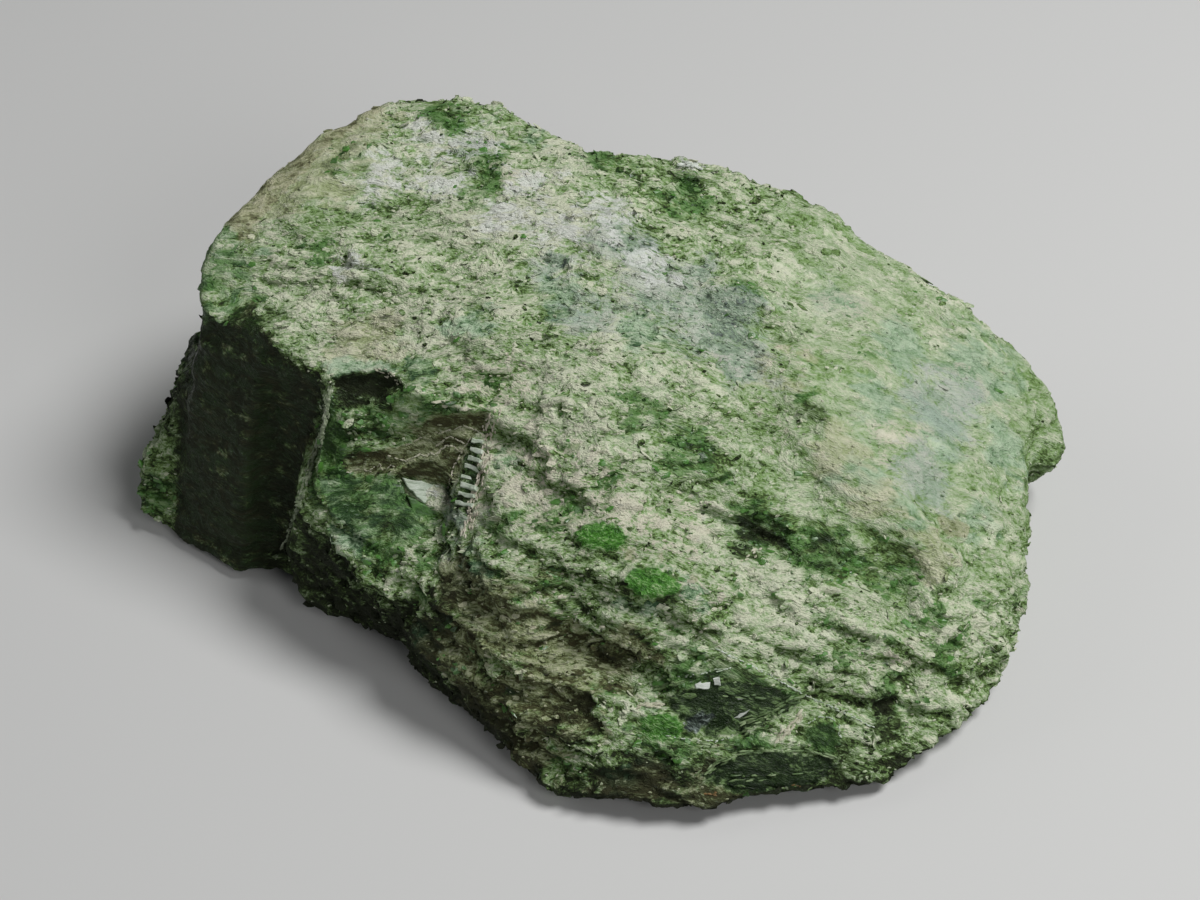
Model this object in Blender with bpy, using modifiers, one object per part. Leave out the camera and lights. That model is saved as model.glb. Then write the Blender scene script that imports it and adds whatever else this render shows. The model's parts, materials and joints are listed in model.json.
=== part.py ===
"""A rough hand specimen of chrome diopside rock: a thick wedge of foliated green rock, broken on every side.

The stone is one solid. Its body is a few overlapping lumps, each the convex hull of its own broken corners.
They are fused into one skin, and the skin is then worked by hand: ledges, hollows, ridges and thin layers.
X runs along the stone, from its thick end to its thin one, Y from its front to its back, and Z is up.
"""

import math

import bmesh
import bpy
from mathutils import Vector, noise

MM = 0.001

# Driving dimensions, in millimetres.
FUSE_GRAIN = 0.42
TRIANGLE_BUDGET = 9300
REST_HEIGHT = 0.3
LAYER_PERIOD = 2.3
LAYER_DEPTH = 0.62
LUMP_SIZE = 6.5
LUMP_DEPTH = 0.55
GRAIN_DEPTH = 0.42

# The layers lie almost level at the thick end and dip towards the thin one.
LAYER_DIP = 0.22
LAYER_BEND = 8.0
LAYER_LEAN = -0.12

# The broken corners of each lump, in millimetres, from a point near the middle of the stone's underside.
THICK_END = [
    # rim, from the peak round to the left shoulder
    (-1.5, 12.4, 20.0), (-5.9, 14.7, 20.7), (-11.9, 15.4, 21.2), (-13.9, 14.6, 20.7), (-17.0, 12.2, 20.2),
    (-19.0, 10.5, 19.6), (-20.8, 7.2, 19.0), (-21.6, 6.5, 18.6), (-22.5, 5.1, 18.0), (-22.9, 1.9, 16.4),
    # top edge of the steep shaded face, then the brow over the step pocket
    (-19.3, 0.3, 16.7), (-17.0, -2.4, 16.3), (-14.9, -4.0, 16.0), (-11.1, -4.0, 15.9), (-6.6, -5.5, 15.3),
    (0.0, 3.5, 19.0), (0.0, -3.2, 17.5), (0.0, -8.0, 15.3),
    # foot of the shaded face
    (-25.8, -2.3, 0.0), (-21.9, -4.6, 0.0), (-18.6, -5.0, 0.2), (-2.0, -9.0, 0.0),
    # back
    (-25.4, 5.5, 0.0), (-21.5, 13.0, 0.0), (-13.0, 18.4, 0.0), (0.0, 17.6, 0.0), (-20.8, 12.6, 11.5),
    (-12.8, 18.8, 12.5), (0.0, 16.8, 12.0), (-23.4, 7.5, 10.0),
]
BODY = [
    # right wall of the step pocket
    (-5.9, -5.6, 15.0), (-6.7, -7.7, 12.6), (-7.4, -9.6, 9.4), (-7.2, -5.6, 13.0), (-8.7, -6.9, 9.0),
    # crown of the upper face
    (0.0, -8.1, 15.4), (0.0, -3.2, 17.5), (0.0, 3.5, 19.0), (5.3, 12.0, 18.9), (11.9, 11.5, 17.1),
    (15.2, 10.2, 15.6), (-1.5, 12.0, 20.0), (19.1, 8.5, 13.2), (21.5, 7.2, 12.0), (24.0, 6.0, 10.2),
    (25.3, 2.5, 8.2), (14.3, 0.8, 14.6), (11.1, -5.7, 13.0), (13.8, -9.6, 10.6), (18.3, -10.5, 8.4),
    # front slope
    (-5.4, -13.1, 11.2), (-8.8, -12.9, 8.4), (-8.6, -10.4, 9.2), (-10.6, -13.4, 6.2),
    (0.0, -13.1, 12.2), (5.4, -14.9, 10.2), (0.0, -15.5, 9.0), (13.7, -15.5, 6.6), (13.6, -19.1, 3.2),
    (20.0, -14.6, 4.6),
    # thin right-hand edge
    (25.7, -0.6, 6.0), (25.3, -3.1, 5.5), (24.8, -7.7, 4.3), (24.2, -10.4, 3.2), (23.3, -13.1, 1.8),
    (22.4, -14.3, 0.8), (20.0, -16.4, 0.4), (17.0, -20.0, 0.2),
    # foot, front and back
    (14.4, -21.0, 0.9), (10.3, -22.2, 1.0), (4.4, -22.7, 1.0), (2.1, -22.4, 1.0), (-2.0, -14.0, 0.0),
    (13.4, -19.2, 0.0), (4.0, -21.0, 0.0),
    (24.3, -6.0, 0.4), (24.2, 1.0, 0.6), (23.0, 7.6, 0.8), (14.0, 14.2, 0.0), (0.0, 17.4, 0.0),
    (13.8, 14.0, 8.0), (0.0, 16.6, 12.0),
]
FRONT_FOOT = [
    (-10.8, -13.6, 6.2), (-11.4, -12.5, 1.4), (-10.0, -13.5, 0.8), (-7.7, -15.4, 1.0), (-6.4, -17.0, 0.8),
    (-4.9, -19.4, 0.9), (-3.4, -21.0, 0.9), (-0.9, -22.0, 0.9), (-8.8, -12.9, 8.4), (-5.4, -13.1, 11.2),
    (0.0, -14.9, 10.0), (0.0, -18.1, 5.5), (-4.4, -17.0, 5.0), (2.2, -22.4, 1.0), (2.0, -8.0, 0.0),
    (-8.0, -8.0, 0.0), (-8.0, -8.0, 8.0), (0.0, -8.0, 14.0), (0.4, -20.6, 0.0), (-3.2, -18.8, 0.0),
]
NOSE = [
    (-15.8, -6.6, 10.9), (-11.3, -6.1, 10.4), (-8.7, -7.1, 9.6), (-17.1, -7.1, 9.6), (-14.0, -9.4, 8.4),
    (-11.2, -11.0, 6.8), (-8.9, -10.9, 7.6), (-18.3, -6.5, 4.6), (-17.9, -6.9, 2.2), (-17.0, -7.0, 0.6),
    (-15.4, -8.4, 0.6), (-13.6, -9.5, 0.8), (-12.8, -10.1, 4.6), (-10.8, -11.8, 6.0), (-16.4, -2.0, 10.9),
    (-8.0, -2.0, 10.0), (-17.6, -2.0, 0.6), (-8.0, -2.0, 0.6), (-8.0, -11.5, 0.6), (-8.4, -12.6, 8.3),
    (-10.2, -13.2, 6.0), (-11.2, -12.2, 3.0),
]
UPPER_TREAD = [
    (-15.5, -4.9, 13.9), (-11.1, -5.2, 14.1), (-8.1, -5.6, 13.9), (-6.8, -5.6, 13.7), (-15.7, -5.3, 13.0),
    (-11.2, -5.6, 13.1), (-7.3, -5.9, 12.9), (-14.9, -2.0, 14.2), (-6.0, -2.0, 14.0), (-15.2, -2.0, 10.0),
    (-6.0, -2.0, 10.0), (-16.0, -5.2, 10.5), (-7.3, -5.5, 10.5),
]
LOWER_TREAD = [
    (-15.9, -6.4, 11.9), (-11.2, -6.9, 11.6), (-8.0, -6.8, 12.2), (-7.4, -6.8, 11.9), (-12.3, -5.6, 12.5),
    (-15.4, -3.0, 12.4), (-7.0, -3.0, 12.6), (-16.4, -6.3, 9.0), (-11.2, -6.6, 9.0), (-7.6, -6.4, 9.0),
    (-16.0, -3.0, 9.0), (-7.0, -3.0, 9.0),
]
LEFT_FOOT = [
    (-24.2, 2.5, 11.2), (-24.6, 8.0, 9.0), (-27.4, 2.2, 4.9), (-28.2, 0.1, 2.9), (-27.0, 6.0, 3.0),
    (-27.8, -1.2, 0.6), (-26.4, -1.9, 0.0), (-24.6, 6.6, 0.0), (-18.0, 4.0, 0.0), (-18.0, 6.0, 12.0),
]
RIGHT_LOBE = [
    (25.6, 5.2, 8.8), (27.3, 4.2, 7.2), (28.0, 2.9, 6.1), (28.0, 1.5, 5.2), (27.5, 0.4, 4.6),
    (25.0, -0.4, 6.0), (27.6, 2.6, 2.2), (26.0, 7.0, 2.6), (24.5, 7.0, 9.5), (18.0, 8.0, 1.0),
    (18.0, 0.0, 1.0), (18.0, 4.0, 11.0),
    (26.6, 1.8, 1.4),
]
UPPER_LENS = [
    (2.2, -18.2, 5.6), (3.7, -17.8, 6.9), (5.4, -17.1, 7.7), (7.8, -17.2, 7.5), (10.8, -18.0, 6.0),
    (9.8, -18.4, 4.8), (4.9, -18.9, 4.6), (2.4, -18.7, 4.9), (2.0, -14.0, 4.0), (11.0, -14.0, 4.0),
    (6.0, -14.0, 8.0),
]
LOWER_LENS = [
    (1.7, -19.5, 3.5), (3.3, -18.9, 4.6), (6.5, -19.1, 4.3), (10.9, -18.7, 4.3), (13.0, -19.2, 3.2),
    (12.6, -20.1, 2.0), (8.7, -20.8, 1.5), (4.9, -20.9, 1.5), (2.7, -20.4, 2.2), (2.0, -15.0, 1.0),
    (12.0, -15.0, 1.0),
]
# A thin slab that has come away from the shaded face, down to 0.7 mm.
SHADED_PANEL = [
    (-18.9, -0.9, 14.6), (-20.3, -2.2, 7.5), (-21.1, -4.6, -0.5), (-18.2, -5.3, -0.5), (-16.9, -3.6, 8.9),
    (-15.2, -3.2, 15.2), (-18.9, -6.5, 14.6), (-20.6, -6.7, 7.5), (-21.4, -7.7, -0.5), (-18.2, -8.2, -0.5),
    (-16.9, -8.0, 8.9), (-15.2, -8.0, 15.2),
]
# The undercut below the brow of the step pocket.
BROW_HOLLOW = [
    (-15.2, -8.0, 15.1), (-9.4, -8.0, 15.0), (-15.2, -8.0, 13.0), (-9.4, -8.0, 13.0), (-14.8, -2.7, 14.9),
    (-10.4, -2.9, 14.8), (-14.8, -2.7, 13.0), (-10.4, -2.9, 13.0),
]
LUMPS = (
    ("body", BODY), ("front_foot", FRONT_FOOT), ("nose", NOSE), ("upper_tread", UPPER_TREAD),
    ("lower_tread", LOWER_TREAD), ("left_foot", LEFT_FOOT), ("right_lobe", RIGHT_LOBE),
    ("upper_lens", UPPER_LENS), ("lower_lens", LOWER_LENS),
)

# Ridges stand out from the skin and grooves, with a height below zero, go into it: path, half width, height.
CREST = [
    (8.0, 2.0, 16.6), (9.6, 0.4, 15.7), (11.2, -2.3, 14.3), (12.0, -5.5, 12.8), (15.0, -8.1, 10.7),
    (19.0, -10.4, 7.9),
]
RIDGES = (
    (CREST, 1.5, 0.75),
    ([(4.0, -10.7, 12.7), (8.7, -11.7, 10.9), (12.6, -11.7, 9.7), (16.6, -11.8, 8.1)], 1.6, -1.0),
    ([(8.4, -5.8, 13.7), (11.0, -8.6, 11.9)], 1.4, -0.4),
    ([(10.2, 0.2, 15.5)], 1.0, -0.6),
    ([(10.6, -4.5, 13.4)], 1.0, -0.5),
    ([(25.8, -1.5, 4.5), (25.5, -4.5, 4.0)], 2.0, -0.5),
    ([(12.6, 11.0, 16.8)], 1.6, -0.4),
    ([(-1.8, -16.3, 7.6), (0.3, -16.8, 7.2), (1.6, -16.9, 6.8)], 1.7, -1.2),
    ([(-13.9, 3.2, 18.3)], 0.9, 0.6),
    ([(5.0, 11.7, 18.7)], 0.8, 0.7),
    ([(15.6, 9.6, 15.2)], 1.6, -0.35),
    ([(-0.4, -12.7, 12.4), (0.6, -12.7, 12.4)], 0.9, 0.45),
    ([(2.0, -14.3, 10.7), (3.4, -14.4, 10.6)], 0.9, 0.5),
    ([(-2.2, 0.2, 18.2), (2.2, -0.7, 17.5), (7.9, -1.0, 15.9)], 1.6, -0.35),
    ([(-19.3, 4.4, 18.2), (-16.7, 7.7, 19.2), (-13.5, 11.2, 20.1)], 1.1, 0.3),
    ([(-16.0, -6.9, 10.4), (-14.1, -9.2, 8.5), (-12.9, -10.3, 6.8)], 0.8, 0.3),
)
# Ledges stand out on their upper side and are undercut below: path, half width, height.
LOW_BACK = [(18.0, 11.2, 5.0), (8.0, 15.8, 6.0), (-4.0, 17.8, 6.5), (-14.0, 17.8, 6.0), (-22.0, 10.5, 6.0)]
LEDGES = (
    ([(-5.4, -14.2, 9.2), (-2.2, -13.8, 10.8), (2.2, -14.6, 10.4), (5.4, -15.0, 10.1)], 1.3, 0.45),
    ([(-9.4, -13.8, 7.0), (-5.5, -15.6, 6.7), (-2.2, -17.4, 5.5)], 1.3, 0.5),
    ([(-4.4, -8.8, 13.8), (0.0, -10.9, 13.6), (4.0, -11.1, 12.5)], 1.2, 0.3),
    ([(-9.9, -14.2, 5.2), (-6.6, -16.5, 4.3), (-2.2, -18.6, 3.5), (2.2, -19.9, 2.5)], 1.2, 0.5),
    ([(14.2, -15.0, 6.8), (18.2, -15.4, 4.6), (21.7, -13.4, 3.0)], 1.3, 0.45),
    ([(16.6, -12.7, 7.5), (20.0, -13.0, 5.6), (23.3, -9.9, 4.3)], 1.2, 0.4),
    ([(14.0, 13.6, 11.0), (4.0, 15.6, 13.0), (-6.0, 17.2, 13.5), (-16.0, 15.6, 12.5)], 1.8, 0.7),
    (LOW_BACK, 1.8, 0.7),
)
# Places where the rock broke clean and stays smooth: middle, radius, how much of the roughness is left.
CALM_PLACES = (
    ((17.5, -2.0, 11.0), 9.0, 0.45),
    ((-20.5, -2.0, 8.0), 8.0, 0.25),
    ((-11.5, -5.5, 12.8), 4.8, 0.12),
    ((-17.5, 10.0, 19.5), 4.0, 0.55),
)
# The underside stays flat near its middle and lifts off the ground towards its edges.
REST_MIDDLE = (-1.0, 0.5)
REST_REACH = (9.5, 8.5)
UNDERSIDE_LIFT = 0.9
UNDERSIDE_DEPTH = 3.0


def clear_scene():
    for old in list(bpy.data.objects):
        bpy.data.objects.remove(old)


def lump(name, corners, collection):
    """One convex lump of rock, the hull of its corners."""
    shape = bmesh.new()
    for corner in corners:
        shape.verts.new(Vector(corner) * MM)
    hull = bmesh.ops.convex_hull(shape, input=shape.verts)
    loose = [v for v in hull["geom_interior"] if isinstance(v, bmesh.types.BMVert)]
    bmesh.ops.delete(shape, geom=loose, context="VERTS")
    bmesh.ops.recalc_face_normals(shape, faces=shape.faces)
    mesh = bpy.data.meshes.new(name)
    shape.to_mesh(mesh)
    shape.free()
    made = bpy.data.objects.new(name, mesh)
    collection.objects.link(made)
    return made


def helper(obj):
    obj.hide_render = True
    obj.display_type = "WIRE"
    return obj


def boolean(target, tool, operation):
    modifier = target.modifiers.new(f"{operation.lower()} {tool.name}", "BOOLEAN")
    modifier.operation = operation
    modifier.solver = "EXACT"
    modifier.object = tool


def layer_height(point):
    """How high a point lies in the pile of layers, in millimetres."""
    dip = point.x + math.sqrt(point.x * point.x + LAYER_BEND * LAYER_BEND)
    return point.z + LAYER_LEAN * point.y + LAYER_DIP * dip


def layer_slope(point):
    """The direction straight up through the layers."""
    bend = 1.0 + point.x / math.sqrt(point.x * point.x + LAYER_BEND * LAYER_BEND)
    return Vector((LAYER_DIP * bend, LAYER_LEAN, 1.0)).normalized()


def nearest_on_path(point, path):
    if len(path) == 1:
        return Vector(path[0])
    best = None
    for start, end in zip(path, path[1:]):
        start = Vector(start)
        along = Vector(end) - start
        share = (point - start).dot(along) / along.length_squared
        candidate = start + along * min(max(share, 0.0), 1.0)
        if best is None or (candidate - point).length < (best - point).length:
            best = candidate
    return best


def roughness_left(point):
    left = 1.0
    for middle, radius, kept in CALM_PLACES:
        distance = (point - Vector(middle)).length / radius
        if distance < 1.0:
            fade = 1.0 - distance * distance
            left = min(left, kept + (1.0 - kept) * (1.0 - fade))
    return left


def layer_profile(phase):
    """Stands out just above the foot of a layer and falls back slowly to the next one."""
    share = phase - math.floor(phase)
    if share < 0.14:
        return share / 0.14 - 0.5
    return 0.5 - (share - 0.14) / 0.86


def skin_offset(point, normal):
    """How far the rough skin stands out from the plain lump at a point, in millimetres."""
    height = layer_height(point)
    slope = layer_slope(point)
    steepness = math.sqrt(max(0.0, 1.0 - normal.dot(slope) ** 2))
    stretched = Vector((point.x / 3.6, point.y / 3.2, height / 1.1))
    wander = 0.8 * noise.noise(point / 8.0) + 0.3 * noise.noise(point / 3.0)
    layers = layer_profile(height / LAYER_PERIOD + wander) * (0.35 + 0.65 * steepness)
    strength = 0.55 + 0.9 * abs(noise.noise(point / 7.0 + Vector((9.0, 4.0, 1.0))))
    offset = LAYER_DEPTH * layers * strength
    offset += GRAIN_DEPTH * noise.noise(stretched)
    offset += LUMP_DEPTH * noise.noise(point / LUMP_SIZE + Vector((3.0, 7.0, 5.0)))
    offset *= roughness_left(point)
    for path, half_width, rise in RIDGES:
        distance = (point - nearest_on_path(point, path)).length / half_width
        if distance < 3.0:
            offset += rise * math.exp(-distance * distance)
    for path, half_width, rise in LEDGES:
        away = point - nearest_on_path(point, path)
        distance = away.length / half_width
        if distance < 3.0:
            offset += rise * math.exp(-distance * distance) * math.tanh(away.dot(slope) / 0.45)
    return offset


def work_skin(mesh):
    """Moves every point of the fused skin in or out, then lifts the edges of the underside off the ground."""
    shape = bmesh.new()
    shape.from_mesh(mesh)
    shape.normal_update()
    moved = []
    for vertex in shape.verts:
        point = vertex.co / MM
        fade = min(max(point.z / 1.5, 0.0), 1.0)
        offset = skin_offset(point, vertex.normal) * (0.6 + 0.4 * fade)
        point = point + vertex.normal * offset
        if point.z < UNDERSIDE_DEPTH:
            along = (point.x - REST_MIDDLE[0]) / REST_REACH[0]
            across = (point.y - REST_MIDDLE[1]) / REST_REACH[1]
            beyond = min(max(math.hypot(along, across) - 1.0, 0.0) / 1.4, 1.0)
            share = max(0.0, 1.0 - max(point.z, 0.0) / UNDERSIDE_DEPTH)
            point.z += UNDERSIDE_LIFT * beyond * share * (1.0 + 0.5 * noise.noise(point / 4.0))
        moved.append(point * MM)
    for vertex, place in zip(shape.verts, moved):
        vertex.co = place
    shape.to_mesh(mesh)
    shape.free()


def baked(obj, name):
    """A plain mesh of an object as its modifiers leave it."""
    bpy.context.view_layer.update()
    graph = bpy.context.evaluated_depsgraph_get()
    mesh = bpy.data.meshes.new_from_object(obj.evaluated_get(graph))
    mesh.name = name
    return mesh


def rest_block(collection):
    """Everything below the ground plane, to cut the small flat spot the stone rests on."""
    reach = 60.0 * MM
    top = REST_HEIGHT * MM
    corners = [(x, y, z) for x in (-reach, reach) for y in (-reach, reach) for z in (top - 20.0 * MM, top)]
    return helper(lump("rest_block", [Vector(corner) / MM for corner in corners], collection))


def rock_material():
    material = bpy.data.materials.new("chrome_diopside_rock")
    material.use_nodes = True
    shader = material.node_tree.nodes["Principled BSDF"]
    shader.inputs["Base Color"].default_value = (0.16, 0.24, 0.085, 1.0)
    shader.inputs["Roughness"].default_value = 0.72
    return material


def main():
    clear_scene()
    stone_parts = bpy.data.collections.new("chrome_diopside")
    helpers = bpy.data.collections.new("helpers")
    bpy.context.scene.collection.children.link(stone_parts)
    bpy.context.scene.collection.children.link(helpers)

    # Fuse the lumps into one skin of even grain.
    fused = helper(lump("fused_lumps", THICK_END, helpers))
    boolean(fused, helper(lump("shaded_panel", SHADED_PANEL, helpers)), "DIFFERENCE")
    boolean(fused, helper(lump("brow_hollow", BROW_HOLLOW, helpers)), "DIFFERENCE")
    for name, corners in LUMPS:
        boolean(fused, helper(lump(name, corners, helpers)), "UNION")
    remesh = fused.modifiers.new("one skin", "REMESH")
    remesh.mode = "VOXEL"
    remesh.voxel_size = FUSE_GRAIN * MM

    # Work the skin, thin it out to the triangle budget and cut the flat spot.
    rough = helper(bpy.data.objects.new("worked_skin", baked(fused, "worked_skin")))
    helpers.objects.link(rough)
    work_skin(rough.data)
    triangles = sum(len(face.vertices) - 2 for face in rough.data.polygons)
    thin = rough.modifiers.new("triangle budget", "DECIMATE")
    thin.ratio = TRIANGLE_BUDGET / triangles
    boolean(rough, rest_block(helpers), "DIFFERENCE")
    mesh = baked(rough, "diopside_rock")

    # Put the middle of the stone's underside on the origin.
    lows = [min(vertex.co[axis] for vertex in mesh.vertices) for axis in range(3)]
    highs = [max(vertex.co[axis] for vertex in mesh.vertices) for axis in range(3)]
    shift = Vector(((lows[0] + highs[0]) / 2.0, (lows[1] + highs[1]) / 2.0, lows[2]))
    shape = bmesh.new()
    shape.from_mesh(mesh)
    bmesh.ops.translate(shape, verts=shape.verts, vec=-shift)
    bmesh.ops.remove_doubles(shape, verts=shape.verts, dist=0.02 * MM)
    bmesh.ops.triangulate(shape, faces=shape.faces)
    bmesh.ops.recalc_face_normals(shape, faces=shape.faces)
    shape.to_mesh(mesh)
    shape.free()
    stone = bpy.data.objects.new("diopside_rock", mesh)
    stone_parts.objects.link(stone)
    mesh.materials.clear()
    mesh.materials.append(rock_material())
    mesh.shade_smooth()
    print("moved by", [round(value / MM, 3) for value in shift], "triangles", len(mesh.polygons))


main()
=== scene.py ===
# %% [markdown]
# # A rough piece of chrome diopside
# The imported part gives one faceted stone. This lesson dresses it: a finer broken skin grown from the same
# stone, flat cleavage faces, scales, crumbs and glassy green grains, the sharp little pieces of the pocket,
# and a rock material that follows the layers. All lengths are millimetres until they are put into a mesh.

import json
import math

import bmesh
import bpy
import numpy as np
from mathutils import Matrix, Vector, noise
from mathutils.bvhtree import BVHTree

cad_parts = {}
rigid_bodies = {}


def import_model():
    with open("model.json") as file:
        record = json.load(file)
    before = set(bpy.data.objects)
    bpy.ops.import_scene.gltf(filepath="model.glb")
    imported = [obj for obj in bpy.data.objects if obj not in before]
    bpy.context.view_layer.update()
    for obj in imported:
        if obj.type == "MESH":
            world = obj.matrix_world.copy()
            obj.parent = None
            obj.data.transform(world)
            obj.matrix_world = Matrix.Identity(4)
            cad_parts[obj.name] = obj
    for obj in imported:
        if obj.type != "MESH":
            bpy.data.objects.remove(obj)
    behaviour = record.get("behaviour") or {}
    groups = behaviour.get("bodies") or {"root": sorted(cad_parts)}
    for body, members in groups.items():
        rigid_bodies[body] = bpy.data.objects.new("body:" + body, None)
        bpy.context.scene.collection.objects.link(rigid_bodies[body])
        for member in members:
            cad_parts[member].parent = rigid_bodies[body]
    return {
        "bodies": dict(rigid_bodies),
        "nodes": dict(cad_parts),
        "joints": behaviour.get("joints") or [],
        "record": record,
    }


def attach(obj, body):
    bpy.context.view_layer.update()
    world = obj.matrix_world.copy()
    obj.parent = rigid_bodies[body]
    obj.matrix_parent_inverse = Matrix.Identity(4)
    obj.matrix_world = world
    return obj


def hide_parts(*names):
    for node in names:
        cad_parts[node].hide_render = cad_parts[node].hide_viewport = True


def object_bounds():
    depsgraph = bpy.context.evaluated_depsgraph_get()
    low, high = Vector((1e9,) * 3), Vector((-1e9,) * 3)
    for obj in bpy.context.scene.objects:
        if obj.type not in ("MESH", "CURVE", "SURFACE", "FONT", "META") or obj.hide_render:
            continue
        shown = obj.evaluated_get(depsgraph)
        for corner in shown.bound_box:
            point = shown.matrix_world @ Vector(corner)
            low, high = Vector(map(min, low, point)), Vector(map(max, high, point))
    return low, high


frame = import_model()
CAD_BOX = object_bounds()
MM = 0.001
NOISE_SEED = 5
noise.seed_set(NOISE_SEED)  # without it the noise vectors start from the clock and each run differs
stone_node = frame["nodes"]["diopside_rock"]
print("stone box", [[round(v / MM, 1) for v in corner] for corner in CAD_BOX])

# %% [markdown]
# ## Layers
# The rock is foliated: its grains are flattened into layers that lie almost level at the thick end and dip
# at the thin one. One formula for the height in the pile of layers is used by the relief, by the flakes and
# by the material, so that they all agree.

# %% The pile of layers
LAYER_DIP = 0.22
LAYER_BEND = 8.0
LAYER_LEAN = -0.12


def layer_height(point):
    dip = point.x + math.sqrt(point.x * point.x + LAYER_BEND * LAYER_BEND)
    return point.z + LAYER_LEAN * point.y + LAYER_DIP * dip


def layer_up(point):
    bend = 1.0 + point.x / math.sqrt(point.x * point.x + LAYER_BEND * LAYER_BEND)
    return Vector((LAYER_DIP * bend, LAYER_LEAN, 1.0)).normalized()
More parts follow.
